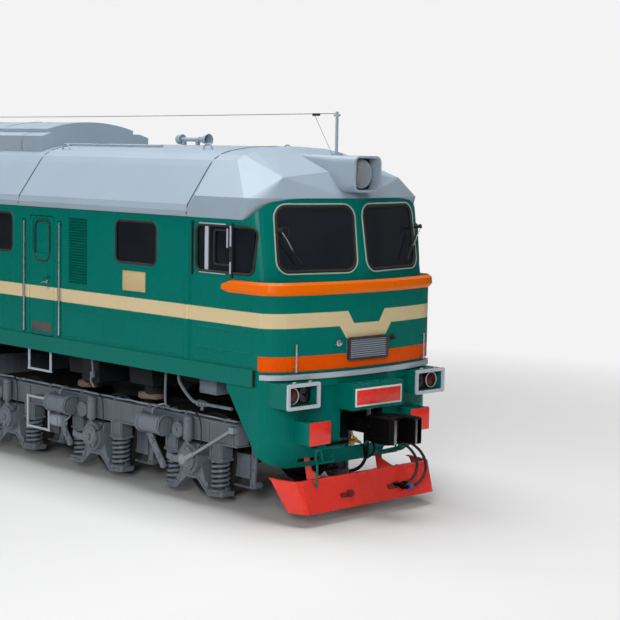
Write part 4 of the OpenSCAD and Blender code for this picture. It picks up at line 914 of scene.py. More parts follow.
COUPLER_Z = h(1.100)
for end, turn in zip(both, ENDS):
    bm = bmesh.new()
    for z in (COUPLER_Z - 0.150, COUPLER_Z + 0.150):
        block(bm, (8.66, -0.183, z - 0.012), (8.95, 0.10, z + 0.012), 0.006)
        block(bm, (8.70, 0.12, z - 0.012), (9.02, 0.292, z + 0.012), 0.006)
    for z in (COUPLER_Z - 0.08, COUPLER_Z + 0.08):
        block(bm, (8.63, 0.255, z - 0.012), (9.00, 0.300, z + 0.012), 0.005)
        block(bm, (8.64, -0.187, z - 0.012), (8.94, -0.165, z + 0.012), 0.005)
    drum(bm, (8.80, 0.00, COUPLER_Z - 0.165), (8.80, 0.00, COUPLER_Z + 0.170), 0.030, bevel=0.005)
    drum(bm, (8.62, -0.215, COUPLER_Z + 0.03), (8.62, -0.150, COUPLER_Z + 0.03), 0.026, bevel=0.004)
    for y in (-0.045, 0.045):
        block(bm, (8.12, y - 0.035, COUPLER_Z + 0.083), (8.46, y + 0.035, COUPLER_Z + 0.100), 0.005)
    bolts(bm, [(x, 0.0, COUPLER_Z + 0.100) for x in (8.16, 8.26, 8.36)], UP, 0.016, 0.014)
    block(bm, (8.46, -0.115, COUPLER_Z - 0.115), (8.52, 0.115, COUPLER_Z + 0.115), 0.012)
    at_end(bm, turn)
    piece(f"{end}_coupler_ribs", bm, black_enamel, f"{end}_coupler", "coupler_black")
    bm = bmesh.new()
    block(bm, (9.006, -0.138, COUPLER_Z - 0.148), (9.0135, -0.092, COUPLER_Z + 0.148), 0.003)
    block(bm, (9.088, 0.150, COUPLER_Z - 0.148), (9.1000, 0.240, COUPLER_Z + 0.148), 0.003)
    at_end(bm, turn)
    piece(f"{end}_coupler_faces", bm, worn_steel, f"{end}_coupler", "coupler_black")

# %% [markdown]
# ## Round the coupler
# The coupler's shank leaves through a riveted steel frame. Beside it hang the air line with its brass
# valves, a short hose, a green lip with rivets, two step brackets and the release lever. The pipes
# are round sweeps along smoothed lines, the valves short drums.

# %% Draft gear face, air valve and release lever
black, yellow, green_bits = bmesh.new(), bmesh.new(), bmesh.new()
for y in (-0.30, 0.30):
    block(black, (8.275, y - 0.055, h(0.97)), (8.335, y + 0.055, h(1.33)), 0.006)
block(black, (8.270, -0.30, h(1.315)), (8.345, 0.30, h(1.352)), 0.006)
bolts(black, [(8.335, y, h(z)) for y in (-0.31, 0.31) for z in (1.02, 1.14, 1.26)], AHEAD, 0.015, 0.012)
sweep(black, [(8.34, -0.62, h(0.915)), (8.34, -0.40, h(0.918)), (8.34, -0.24, h(0.922))], 0.040, sides=14)
sweep(black, [(8.345, -0.20, h(0.92)), (8.36, -0.06, h(0.88)), (8.36, 0.02, h(0.80)), (8.34, 0.05, h(0.72))],
      0.018)
drum(black, (8.30, 0.10, h(0.70)), (8.30, 0.10, h(0.975)), 0.034, bevel=0.004)
pipe(black, [(8.30, 0.10, h(0.72)), (8.31, 0.08, h(0.66)), (8.30, 0.03, h(0.58)), (8.27, -0.04, h(0.53)),
             (8.20, -0.08, h(0.50))], 0.044, 5, 14)
pipe(black, [(8.32, 0.13, h(0.93)), (8.35, 0.20, h(0.80)), (8.33, 0.17, h(0.70)), (8.31, 0.11, h(0.66))],
     0.026, 5, 10)
drum(yellow, (8.35, -0.27, h(0.915)), (8.35, -0.13, h(0.925)), 0.036, bevel=0.006)
drum(yellow, (8.35, -0.20, h(0.86)), (8.35, -0.20, h(0.985)), 0.030, bevel=0.006)
drum(yellow, (8.35, -0.20, h(0.985)), (8.35, -0.22, h(1.045)), 0.016, bevel=0.003)
sweep(yellow, [(8.36, -0.21, h(0.99)), (8.39, -0.17, h(0.94)), (8.40, -0.10, h(0.90))], 0.024, 0.012, None, 8)
drum(yellow, (8.35, 0.25, h(0.985)), (8.35, 0.33, h(0.985)), 0.034, bevel=0.006)
drum(yellow, (8.35, 0.29, h(0.94)), (8.35, 0.29, h(1.01)), 0.026, bevel=0.005)
LIP_POINTS = 10
turns = [pi * k / LIP_POINTS for k in range(LIP_POINTS + 1)]
lip_line = [Vector((8.345 - 0.05 * sin(a), 0.23 - 0.17 * cos(a), h(0.885) - 0.075 * sin(a))) for a in turns]
strip(green_bits, lip_line, 0.060, 0.014, AHEAD)
bolts(green_bits, [p + Vector((0.006, 0, 0)) for p in lip_line], AHEAD, 0.009, 0.008)
STEP_X, STEP_HALF = 8.235, 0.14
for y in (-0.56, 0.56):
    left, right = y - STEP_HALF, y + STEP_HALF
    strip(green_bits, [(STEP_X, left, h(0.755)), (STEP_X + 0.02, left, h(0.675)),
                       (STEP_X + 0.02, right, h(0.675)), (STEP_X, right, h(0.755))], 0.020, 0.016, AHEAD)
sweep(green_bits, [(8.34, -0.83, h(0.86)), (8.36, -0.80, h(0.90)), (8.38, -0.76, h(0.86)),
                   (8.38, -0.74, h(0.76)), (8.36, -0.70, h(0.72))], 0.020)
pipe(green_bits, [(8.36, -0.83, h(0.88)), (8.37, -0.84, h(0.76)), (8.42, -0.86, h(0.70)),
                  (8.44, -0.88, h(0.60)), (8.44, -0.89, h(0.42))], 0.028)
sweep(green_bits, [(8.36, -0.83, h(0.885)), (8.355, -0.42, h(0.865)), (8.355, -0.33, h(0.88))], 0.022)
drum(green_bits, (8.31, -0.83, h(0.88)), (8.40, -0.83, h(0.88)), 0.026, bevel=0.004)
for bm in (black, yellow, green_bits):
    copies(bm, ENDS)
piece("draft_gear_faces", black, black_enamel, "body", "coupler_black")
piece("air_valves", yellow, brass, "body", "trim_light")
piece("release_levers", green_bits, green_plain, "body", "body_green")

# %% [markdown]
# ## Snow plough fittings
# A folded lip stiffens the top edge of the blade, and jack pads with a stop stand out of the face. The
# lip follows the blade's own outline, a little inside it.

# %% Plough lip, pads
lip, pads = bmesh.new(), bmesh.new()
HALF_EDGE = [(7.985, 1.232), (8.215, 1.212), (8.367, 1.165), (8.398, 1.09)]
edge = [(x, -y) for x, y in HALF_EDGE] + HALF_EDGE[::-1]
strip(lip, [(x - 0.018, y * 0.99, h(0.516)) for x, y in edge], 0.050, 0.012, UP)
bolts(lip, [(8.36, y, h(0.520)) for y in (-0.95, -0.6, -0.2, 0.2, 0.6, 0.95)], UP, 0.014, 0.010)
for y in (-0.36, 0.47):
    place, normal = onto("snow_ploughs", (9.5, y, h(0.30)), (-1, 0, 0))
    drum(pads, place - normal * 0.01, place + normal * 0.050, 0.050, 0.040, bevel=0.006)
    block(pads, place + Vector((-0.01, -0.16, -0.030)), place + Vector((0.030, -0.06, 0.020)), 0.006)
copies(lip, ENDS)
copies(pads, ENDS)
pad_enamel = enamel("dark red enamel", "#5e0f0c", 0.5, 0.1, 0.2)
piece("plough_lips", lip, red_enamel, "body", "signal_red")
piece("plough_pads", pads, pad_enamel, "body", "signal_red")

# %% [markdown]
# ## Roof fittings
# An aerial wire sags from mast to mast over the ridge, with a stay and two insulators near each end.
# The horn gets rolled rims. A conduit on the roof sheet and four lifting eyes complete the roof: their
# heights come from rays onto the solid.

# %% Aerial, horn, conduit
def on_roof(x, y):
    return onto("roof_sections", (x, y, h(6)), (0, 0, -1))[0]

wire, insulators, fittings = bmesh.new(), bmesh.new(), bmesh.new()
MAST_X, WIRE_Z, WIRE_STEPS, SAG = 7.77, h(4.962), 40, 0.030
HORN_Z = h(4.615)
CONDUIT_Y = -0.60
along_wire = [1 - 2 * k / WIRE_STEPS for k in range(WIRE_STEPS + 1)]
sweep(wire, [(MAST_X * t, 0, WIRE_Z - SAG * (1 - t * t)) for t in along_wire], 0.010, sides=6)
for flip in ENDS:
    sweep(wire, [flip @ Vector((7.36, 0, h(4.945))), flip @ Vector((7.68, 0, h(4.47)))], 0.008, sides=6)
    for x in (7.33, 7.40):
        start, end = Vector((x, 0, h(4.948))), Vector((x + 0.05, 0, h(4.949)))
        drum(insulators, flip @ start, flip @ end, 0.018, bevel=0.004)
    drum(fittings, flip @ Vector((7.77, 0, h(4.40))), flip @ Vector((7.77, 0, h(4.475))), 0.036, bevel=0.005)
    bolts(fittings, [flip @ p for p in ring(4, 0.055, (7.77, 0, h(4.455)), "Z", 0.6)], UP, 0.010, 0.010)
    for x, radius, count, thick in ((4.655, 0.060, 28, 0.016), (4.700, 0.066, 28, 0.016),
                                    (5.08, 0.034, 28, 0.016), (5.268, 0.076, 36, 0.014)):
        rim = [flip @ p for p in ring(count, radius, (x, 0, HORN_Z), "X")]
        sweep(fittings, rim, thick, closed=True, sides=8)
    tail, bulb = Vector((4.600, 0, HORN_Z)), Vector((4.630, 0, HORN_Z))
    drum(fittings, flip @ tail, flip @ bulb, 0.040, 0.056, bevel=0.006)
    line = []
    for x in (2.72, 3.1, 3.5, 3.9, 4.3, 4.7, 5.0):
        place = on_roof(x, CONDUIT_Y)
        if place is None or place.z > h(4.6):
            place = Vector((x, CONDUIT_Y, on_roof(3.1, CONDUIT_Y).z))
        line.append(flip @ (place + Vector((0, 0, 0.024))))
    sweep(fittings, line, 0.030)
    for p in line[1:]:
        hoop(fittings, 0.030, p - Vector((0, 0, 0.02)), 0.012, "X", 10, 6)
    for x, y in ((3.15, -0.86), (6.1, -0.70), (6.1, 0.70), (3.15, 0.86)):
        foot = on_roof(x, y)
        turns = [pi * k / 8 for k in range(9)]
        eye = [flip @ (foot + Vector((0.09 * cos(a), 0, 0.085 * sin(a) - 0.006))) for a in turns]
        sweep(fittings, eye, 0.022, sides=8)
piece("aerial_wires", wire, wire_steel, "body", "trim_light")
piece("aerial_insulators", insulators, black_rubber, "body", "hose_rubber")
piece("roof_fittings", fittings, roof_grey, "body", "roof_grey")

# %% [markdown]
# ## Hatch ribs
# The raised hatch over the engine is stiffened by cross ribs. Each is a flat bar that follows the
# hatch's arch, whose points and normals come from rays.

# %% Hatch ribs
hatch_ribs = bmesh.new()
for flip in SIDES:
    for x in (-1.34, 0.0, 1.34):
        arch = []
        for k in range(13):
            place, normal = onto("roof_hatch", (x, 0.06 + 0.86 * k / 12, h(6)), (0, 0, -1))
            if place:
                arch.append((flip @ (place + Vector((0, 0, 0.001))), flip.to_3x3() @ normal))
        sweep(hatch_ribs, [p for p, n in arch], 0.030, 0.014, [n for p, n in arch], 4)
piece("hatch_ribs", hatch_ribs, roof_grey, "body", "roof_grey")

# %% [markdown]
# ## Coil springs
# What is seen below the sill is mostly the bogie. Each axle box carries two nests of coil springs: an
# outer coil of 40 mm bar, an inner one that shows only as a dark core, and a pressed cup above and
# below. The coil is a round bar swept along a helix whose ends are wound flat. One is made in bogie
# coordinates on the right-hand side, then repeated, mirrored and turned.

# %% Coil springs
def bogie_place(end):
    return ENDS[both.index(end)] @ Matrix.Translation((PIVOT_X, 0, 0))

def on_bogie(bm, end, spots=None):
    """Repeats a piece along the bogie, mirrors it to the left and puts it under its end."""
    if spots:
        bmesh.ops.transform(bm, matrix=Matrix.Translation((spots[0], 0, 0)), verts=bm.verts[:])
        copies(bm, [Matrix.Translation((x - spots[0], 0, 0)) for x in spots])
    copies(bm, SIDES)
    bmesh.ops.transform(bm, matrix=bogie_place(end), verts=bm.verts[:])

AXLES = (-AXLE_PITCH, 0.0, AXLE_PITCH)
SPRING_FROM_AXLE = 0.45
COIL_R, WIRE, SEAT_Z, SPRING_Z = 0.106, 0.040, h(0.165), h(0.565)
COIL_TURNS, COIL_STEPS, FLAT_END = 5.6, 112, 0.03

def helix():
    points = []
    for k in range(COIL_STEPS + 1):
        share = k / COIL_STEPS
        angle = tau * COIL_TURNS * share
        rise = min(max((share - FLAT_END) / (1 - 2 * FLAT_END), 0), 1)
        points.append((COIL_R * cos(angle), -SPRING_Y + COIL_R * sin(angle),
                       SEAT_Z + 0.028 + rise * (SPRING_Z - SEAT_Z - 0.068)))
    return points

for end in both:
    springs, cups, inner = bmesh.new(), bmesh.new(), bmesh.new()
    sweep(springs, helix(), WIRE, sides=8)
    drum(inner, (0, -SPRING_Y, SEAT_Z), (0, -SPRING_Y, SPRING_Z), 0.052, sides=20)
    drum(cups, (0, -SPRING_Y, SEAT_Z - 0.002), (0, -SPRING_Y, SEAT_Z + 0.018), 0.138, 0.120, bevel=0.004)
    drum(cups, (0, -SPRING_Y, SPRING_Z - 0.034), (0, -SPRING_Y, SPRING_Z - 0.001), 0.120, 0.142, bevel=0.004)
    for bm in (springs, cups, inner):
        on_bogie(bm, end, [a + s * SPRING_FROM_AXLE for a in AXLES for s in (-1, 1)])
    made = piece(f"{end}_coil_springs", springs, running_grey, f"{end}_bogie", "running_gear_grey")
    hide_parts(f"{end}_springs")
    piece(f"{end}_spring_cups", cups, running_grey, f"{end}_bogie", "running_gear_grey")
    piece(f"{end}_inner_springs", inner, engine_paint, f"{end}_bogie", "running_gear_grey")

# %% [markdown]
# ## Axle box covers
# A turned cover with a ring of bolts closes each axle box. The box's cast arms reach down to the
# spring seats, and flat guide plates keep it upright in the frame. Made once and repeated.

# %% Axle box covers
ARM = [(0.615, 0.128), (0.33, 0.095), (0.215, 0.20), (0.115, 0.282)]
COVER_Y = -1.268
for end in both:
    covers = bmesh.new()
    drum(covers, (0, COVER_Y, AXLE_Z), (0, -1.284, AXLE_Z), 0.118, 0.108, 40, bevel=0.004)
    drum(covers, (0, -1.280, AXLE_Z), (0, -1.312, AXLE_Z), 0.050, 0.044, 24, bevel=0.006)
    hoop(covers, 0.150, (0, COVER_Y, AXLE_Z), 0.018, count=40)
    bolts(covers, ring(8, 0.133, (0, COVER_Y, AXLE_Z), "Y", 0.2), OUT, 0.013, 0.016)
    bolts(covers, ring(3, 0.026, (0, -1.310, AXLE_Z)), OUT, 0.008, 0.008)
    for s in (-1, 1):
        drum(covers, (s * 0.285, -1.148, h(0.225)), (s * 0.285, -1.156, h(0.225)), 0.036, sides=24)
        bolts(covers, [(s * 0.40, -1.150, h(0.125)), (s * 0.52, -1.150, h(0.135))], OUT, 0.014, 0.012)
        guide = [(0.300, 0.150), (0.240, 0.315), (0.182, 0.475), (0.182, 0.70)]
        strip(covers, [(s * x, -1.152, h(z)) for x, z in guide], 0.022, 0.016)
    arms = [(-x, z) for x, z in ARM] + ARM[::-1]
    strip(covers, [(x, -1.152, h(z)) for x, z in arms], 0.026, 0.020)
    on_bogie(covers, end, AXLES)
    piece(f"{end}_axle_box_covers", covers, running_grey, f"{end}_bogie", "running_gear_grey")

# %% [markdown]
# ## Brake gear and dampers
# Each axle has a brake cylinder with bolted end flanges and a push rod, a bent flat lever, a strap, a
# round friction damper, an upright damper with a domed cap, and hangers that end in pin eyes. Round
# things are drums and rings, bent plates are flat bars swept along their line.

# %% Brake gear
CYLINDER = Vector((0, -1.295, h(0.905)))
DISC = Vector((-0.16, -1.28, h(0.885)))
POST = Vector((-0.02, -1.212, h(0.77)))

def brake_cylinder(bm):
    y, z = CYLINDER.y, CYLINDER.z
    for x in (-0.875, -0.850, -0.455, -0.430):
        drum(bm, (x, y, z), (x + 0.022, y, z), 0.140, bevel=0.005)
    bolts(bm, ring(8, 0.112, (-0.430 + 0.022, y, z), "X"), AHEAD, 0.012, 0.014)
    drum(bm, (-0.875, y, z), (-0.935, y, z), 0.060, 0.034, bevel=0.004)
    drum(bm, (-0.92, y, z), (-1.045, y, z), 0.017, sides=16)
    block(bm, (-1.075, y - 0.034, z - 0.030), (-1.020, y + 0.034, z + 0.030), 0.006)
    drum(bm, (-1.05, y - 0.050, z), (-1.05, y + 0.050, z), 0.014, bevel=0.003)

def brake_lever(bm):
    line = [(-0.80, -1.245, h(0.80)), (-0.73, -1.235, h(0.66)), (-0.60, -1.225, h(0.47)),
            (-0.52, -1.215, h(0.36))]
    strip(bm, line, 0.105, 0.022)
    for place, radius in zip(line[1:], (0.040, 0.036, 0.044)):
        pin = Vector(place)
        drum(bm, pin - Vector((0, 0.030, 0)), pin + Vector((0, 0.02, 0)), radius, bevel=0.005)
    strap = [(-0.345, -1.19, h(1.03)), (-0.350, -1.33, h(1.05)), (-0.375, -1.40, h(0.98)),
             (-0.400, -1.40, h(0.86)), (-0.405, -1.36, h(0.80))]
    sweep(bm, smooth_path(strap, 4), 0.034, 0.012, None, 4)

def friction_damper(bm):
    hoop(bm, 0.094, DISC, 0.016)
    drum(bm, DISC, DISC - Vector((0, 0.012, 0)), 0.074, 0.066, bevel=0.003)
    drum(bm, DISC, DISC - Vector((0, 0.034, 0)), 0.022, sides=6)
    bolts(bm, ring(6, 0.052, DISC - Vector((0, 0.010, 0))), OUT, 0.009, 0.010)

def upright_damper(bm):
    dome = Matrix.Translation(POST + Vector((0, 0, 0.270))) @ Matrix.Diagonal((1, 1, 0.8, 1))
    bmesh.ops.create_uvsphere(bm, u_segments=20, v_segments=10, radius=0.062, matrix=dome)
    for z in (0.02, 0.24):
        hoop(bm, 0.062, POST + Vector((0, 0, z)), 0.018, "Z", 24)
    drum(bm, POST - Vector((0, 0, 0.030)), POST, 0.034, 0.050, bevel=0.004)
    drum(bm, POST - Vector((0, 0, 0.100)), POST - Vector((0, 0, 0.020)), 0.020, sides=12)
    block(bm, POST - Vector((0.045, 0.03, 0.135)), POST - Vector((-0.045, -0.05, 0.090)), 0.008)
    strip(bm, [(0.06, -1.24, h(0.66)), (0.02, -1.26, h(0.60)), (-0.14, -1.27, h(0.50)),
               (-0.24, -1.27, h(0.50)), (-0.40, -1.25, h(0.52))], 0.085, 0.020)

def hangers(bm):
    for s in (-1, 1):
        x = s * 0.82
        drum(bm, (x, -0.84, h(0.245)), (x, -0.70, h(0.245)), 0.046, bevel=0.006)
        drum(bm, (x, -0.87, h(0.245)), (x, -0.83, h(0.245)), 0.022, sides=6)
        link = [(x + 0.01, -0.80, h(1.0)), (x + s * 0.02, -0.81, h(0.66)), (x, -0.82, h(0.26))]
        strip(bm, link, 0.070, 0.024)
        bolts(bm, [(x, -0.83, h(z)) for z in (0.45, 0.62)], OUT, 0.016, 0.014)
    sweep(bm, [(-0.82, -0.78, h(0.20)), (0.82, -0.78, h(0.20))], 0.036, sides=12)

for end in both:
    gear = bmesh.new()
    for make in (brake_cylinder, brake_lever, friction_damper, upright_damper, hangers):
        make(gear)
    on_bogie(gear, end, AXLES)
    piece(f"{end}_brake_gear", gear, running_grey, f"{end}_bogie", "running_gear_grey")

# %% [markdown]
# ## Frame flanges, pipes and cables
# The bogie's side frame is a box girder: wider flanges above and below, welded stiffeners between
# them, pads over the springs. Air pipes lie on the top flange in clips, cables hang to the axle boxes,
# and a rod runs down to the front axle's speed sensor. The pipes wander a little, as bent pipes do.

# %% Frame flanges, pipes and cables
PIPE_STEPS = 24

def frame_flanges(bm):
    for low, high in ((1.048, 1.064), (0.776, 0.792)):
        block(bm, (-2.985, -1.166, h(low)), (2.985, -0.945, h(high)), 0.003)
    for x in (-2.90, -1.62, -0.98, 1.05, 1.62, 2.42, 2.90):
        block(bm, (x - 0.008, -1.163, h(0.79)), (x + 0.008, -1.150, h(1.05)), 0.002)
    block(bm, (2.965, -1.145, h(0.80)), (2.985, -0.965, h(1.04)), 0.004)
    for x in [a + s * SPRING_FROM_AXLE for a in AXLES for s in (-1, 1)]:
        block(bm, (x - 0.145, -1.155, h(0.555)), (x + 0.145, -0.955, h(0.585)), 0.006)
        block(bm, (x - 0.100, -1.152, h(0.60)), (x - 0.084, -1.135, h(0.775)), 0.003)
        block(bm, (x + 0.084, -1.152, h(0.60)), (x + 0.100, -1.135, h(0.775)), 0.003)
    for k in range(8):
        x = -2.7 + 0.77 * k
        block(bm, (x - 0.015, -1.13, h(1.062)), (x + 0.015, -1.03, h(1.108)), 0.004)

def frame_pipes(bm):
    xs = [-2.9 + 5.8 * k / PIPE_STEPS for k in range(PIPE_STEPS + 1)]
    brake_pipe = [(x, -1.105 + 0.008 * sin(k * 1.9), h(1.094) + 0.006 * sin(k * 2.6))
                  for k, x in enumerate(xs)]
    pipe(bm, brake_pipe, 0.026, 3, 10)
    sweep(bm, [(x, -1.050, h(1.084) + 0.004 * sin(k * 1.3)) for k, x in enumerate(xs)], 0.018, sides=8)
    for a in AXLES:
        x = a - 0.66
        feed = [(a - 0.64, -1.12, h(1.09)), (x, -1.21, h(1.12)), (x, -1.29, h(1.09)), (x, -1.295, h(1.035))]
        pipe(bm, feed, 0.022, 4, 8)

def sensor_rod(bm):
    sweep(bm, [(2.20, -1.315, h(0.56)), (2.93, -1.215, h(1.00))], 0.042, sides=14)
    drum(bm, (2.10, -1.275, h(0.525)), (2.10, -1.340, h(0.525)), 0.070, 0.060, bevel=0.006)
    drum(bm, (2.08, -1.318, h(0.50)), (2.30, -1.306, h(0.625)), 0.032, bevel=0.004)
    block(bm, (2.90, -1.240, h(0.96)), (2.99, -1.150, h(1.04)), 0.006)

def junction_box(bm):
    block(bm, (-0.92, -1.32, h(0.58)), (-0.62, -1.19, h(0.73)), 0.010)
    block(bm, (-0.86, -1.335, h(0.60)), (-0.68, -1.315, h(0.71)), 0.006)
    bolts(bm, [(x, -1.32, h(z)) for x in (-0.90, -0.64) for z in (0.60, 0.71)], OUT, 0.010, 0.010)
    pipe(bm, [(-0.62, -1.26, h(0.66)), (-0.52, -1.26, h(0.70)), (-0.46, -1.22, h(0.80)),
              (-0.42, -1.17, h(0.90))], 0.022, 4, 8)

def axle_cables(bm):
    for a in AXLES:
        pipe(bm, [(a - 0.02, -1.10, h(1.09)), (a + 0.10, -1.16, h(1.11)), (a + 0.19, -1.185, h(1.02)),
                  (a + 0.215, -1.19, h(0.86)), (a + 0.20, -1.20, h(0.70)), (a + 0.15, -1.235, h(0.62)),
                  (a + 0.06, -1.262, h(0.61))], 0.016, 5, 8)

for end in both:
    for name, makes, material, finish in (
            ("frame_flanges", (frame_flanges,), running_grey, "running_gear_grey"),
            ("frame_pipes", (frame_pipes, sensor_rod, junction_box), rod_grey, "running_gear_grey"),
            ("frame_cables", (axle_cables,), black_rubber, "hose_rubber")):
        bm = bmesh.new()
        for make in makes:
            make(bm)
        on_bogie(bm, end)
        piece(f"{end}_{name}", bm, material, f"{end}_bogie", finish)

# %% [markdown]
# ## Below the sill
# Air pipes with hexagon unions drop from the sill to the bogie, and canvas bellows carry cooling air
# from the ducts down to the motors. The bellows are soft pleats tied round the duct, each a closed
# flat loop. They end just above the bogie's pipes, so that the bogie can swing under them.

# %% Body pipes and bellows
pipes, pleats = bmesh.new(), bmesh.new()
pipe(pipes, [(6.03, -1.30, h(1.63)), (6.03, -1.31, h(1.54)), (6.025, -1.31, h(1.40)), (6.02, -1.30, h(1.20)),
             (6.02, -1.24, h(1.15))], 0.034)
pipe(pipes, [(6.26, -1.28, h(1.63)), (6.29, -1.29, h(1.52)), (6.40, -1.29, h(1.41)), (6.55, -1.29, h(1.31)),
             (6.66, -1.28, h(1.285)), (6.85, -1.28, h(1.285)), (7.30, -1.27, h(1.285))], 0.044)
for x, radius in ((6.66, 0.045), (6.72, 0.045), (6.78, 0.036)):
    drum(pipes, (x, -1.28, h(1.285)), (x + 0.045, -1.28, h(1.285)), radius, sides=6)
drum(pipes, (6.74, -1.28, h(1.20)), (6.74, -1.28, h(1.30)), 0.020, bevel=0.003)
block(pipes, (6.58, -1.20, h(1.40)), (6.92, -0.98, h(1.60)), 0.012)
bolts(pipes, [(x, -1.20, h(z)) for x in (6.62, 6.88) for z in (1.43, 1.57)], OUT, 0.012, 0.010)
pipe(pipes, [(4.40, -1.30, h(1.63)), (4.42, -1.30, h(1.45)), (4.36, -1.29, h(1.32)), (4.40, -1.26, h(1.22))],
     0.030, 4, 10)
drum(pipes, (4.41, -1.30, h(1.36)), (4.41, -1.30, h(1.44)), 0.034, sides=6)

DUCT_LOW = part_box("motor_air_ducts")[0].z
BELLOWS_LOW, PLEATS, PLEAT_POINTS = h(1.125), 4, 32
pitch = (DUCT_LOW - BELLOWS_LOW) / PLEATS
turns = [tau * i / PLEAT_POINTS for i in range(PLEAT_POINTS)]
for x in (3.75, 5.15):
    for k in range(PLEATS):
        z = BELLOWS_LOW + 0.014 + k * pitch
        loop = [(x + 0.190 * cos(a), -0.86 + 0.135 * sin(a), z + 0.003 * sin(5 * a + k)) for a in turns]
        gasket(pleats, loop, 0.036, 0.022, UP)
    drum(pleats, (x, -0.86, BELLOWS_LOW), (x, -0.86, DUCT_LOW + 0.02), 0.130, sides=28)
copies(pipes, CORNERS)
copies(pleats, CORNERS)
piece("sill_air_pipes", pipes, running_grey, "body", "running_gear_grey")
piece("duct_bellows", pleats, canvas, "body", "seat_vinyl")
print("duct bottom", round(DUCT_LOW, 3))

# %% [markdown]
# ## Painted shadows at the sill ends
# The side sill stops short of the skirt. A thin black block stands for the gap between them, a painted
# shadow.

# %% Painted shadows at the sill ends
bm = bmesh.new()
# A painted shadow: a thin black block in the gap at each sill end.
block(bm, (7.902, -1.470, h(1.650)), (7.908, -1.405, h(1.845)), 0.002)
copies(bm, CORNERS)
piece("sill_ends", bm, black_rubber, "body", "coupler_black")

# %% [markdown]
# ## Driver's seats
# Each seat is a steel pedestal with a padded cushion and back. The pads are closed forms with a
# crowned face, rounded by subdivision, with a piped seam round them.

# %% Seats
def pad(bm, size, place, crown=0.028):
    """A cushion with its crown on top: narrower at the rim, raised in the middle."""
    wide, deep, tall = size
    made = bmesh.ops.create_grid(bm, x_segments=4, y_segments=4, size=0.5)["verts"]
    bmesh.ops.transform(bm, matrix=Matrix.Diagonal((wide, deep, 1, 1)), verts=made)
    faces = list({f for v in made for f in v.link_faces})
    grown = bmesh.ops.extrude_face_region(bm, geom=faces)["geom"]
    top = [g for g in grown if isinstance(g, bmesh.types.BMVert)]
    bmesh.ops.translate(bm, vec=(0, 0, tall - crown), verts=top)
    middle = [v for v in top if abs(v.co.x) < wide * 0.3 and abs(v.co.y) < deep * 0.3]
    bmesh.ops.translate(bm, vec=(0, 0, crown), verts=middle)
    rim = [v for v in top if v not in middle]
    bmesh.ops.transform(bm, matrix=Matrix.Diagonal((RIM, RIM, 1, 1)), verts=rim)
    bmesh.ops.transform(bm, matrix=place, verts=made + top)

def add_pad(target, size, place):
    bm = bmesh.new()
    pad(bm, size, place)
    scratch = bpy.data.meshes.new("pad")
    bm.to_mesh(scratch)
    bm.free()
    target.from_mesh(scratch)
    bpy.data.meshes.remove(scratch)

RIM = 0.95
SEAT_X, SEAT_Y, FLOOR_Z = 7.18, 0.62, h(1.700)
CUSHION, BACK = (0.45, 0.47, 0.105), (0.56, 0.44, 0.085)
BACK_LEAN = Matrix.Rotation(radians(82), 4, "Y") @ Matrix.Translation((-0.27, 0, -0.03))
cushions, seams, stands = bmesh.new(), bmesh.new(), bmesh.new()
for y in (-SEAT_Y, SEAT_Y):
    seat = Matrix.Translation((SEAT_X, y, FLOOR_Z + 0.425))
    back = Matrix.Translation((SEAT_X - 0.185, y, FLOOR_Z + 0.52)) @ BACK_LEAN
    for place, size in ((seat, CUSHION), (back, BACK)):
        add_pad(cushions, size, place)
        seam_place = place @ Matrix.Translation((0, 0, size[2] * 0.55))
        seam = rounded_loop(size[0] * RIM, size[1] * RIM, 0.05, seam_place, 4)
        sweep(seams, seam, 0.010, sides=6, closed=True)
    drum(stands, (SEAT_X, y, FLOOR_Z), (SEAT_X, y, FLOOR_Z + 0.030), 0.188, bevel=0.006)
    drum(stands, (SEAT_X, y, FLOOR_Z + 0.02), (SEAT_X, y, FLOOR_Z + 0.40), 0.044, bevel=0.004)
    hoop(stands, 0.052, (SEAT_X, y, FLOOR_Z + 0.25), 0.020, "Z", 24)
    frame_low, frame_high = FLOOR_Z + 0.395, FLOOR_Z + 0.428
    block(stands, (SEAT_X - 0.17, y - 0.18, frame_low), (SEAT_X + 0.17, y + 0.18, frame_high), 0.006)
    strip(stands, [(SEAT_X - 0.15, y, FLOOR_Z + 0.41), (SEAT_X - 0.25, y, FLOOR_Z + 0.43),
                   (SEAT_X - 0.275, y, FLOOR_Z + 0.56)], 0.05, 0.014, (0, 1, 0))
for bm in (cushions, seams, stands):
    copies(bm, ENDS)
made = piece("seat_cushions", cushions, cab_vinyl, "body", "seat_vinyl")
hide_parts("driver_seats")
soft = made.modifiers.new("soft", "SUBSURF")
soft.levels = soft.render_levels = 2
piece("seat_seams", seams, cab_vinyl, "body", "seat_vinyl")
piece("seat_stands", stands, engine_paint, "body", "cab_plastic")

# %% [markdown]
# ## Desk instruments
# The desk's sloping top carries five dials with raised rims, the power controller's handle and the
# brake valve's wheel. The dials stand square to the slope, whose direction comes from its two edges.

# %% Desk instruments
dials, handles = bmesh.new(), bmesh.new()
slope = (Vector((8.06, 0, 2.64)) - Vector((7.78, 0, 2.56))).normalized()
square = Vector((-slope.z, 0, slope.x))
DIAL_R, RIM_R = 0.060, 0.056
turns = [tau * k / 20 for k in range(20)]
for y in (-0.92, -0.76, -0.60, -0.44, -0.28):
    place = Vector((7.95, y, h(2.6086)))
    drum(dials, place, place + square * 0.022, DIAL_R, bevel=0.004)
    face_centre = place + square * 0.024
    rim = [face_centre + slope * (RIM_R * cos(a)) + Vector((0, RIM_R * sin(a), 0)) for a in turns]
    sweep(dials, rim, 0.008, sides=6, closed=True)
drum(handles, (7.80, -0.86, h(2.55)), (7.80, -0.86, h(2.66)), 0.018, bevel=0.003)
drum(handles, (7.80, -0.86, h(2.66)), (7.76, -0.72, h(2.68)), 0.014, 0.020, bevel=0.004)
drum(handles, (7.80, -0.34, h(2.55)), (7.80, -0.34, h(2.62)), 0.030, bevel=0.004)
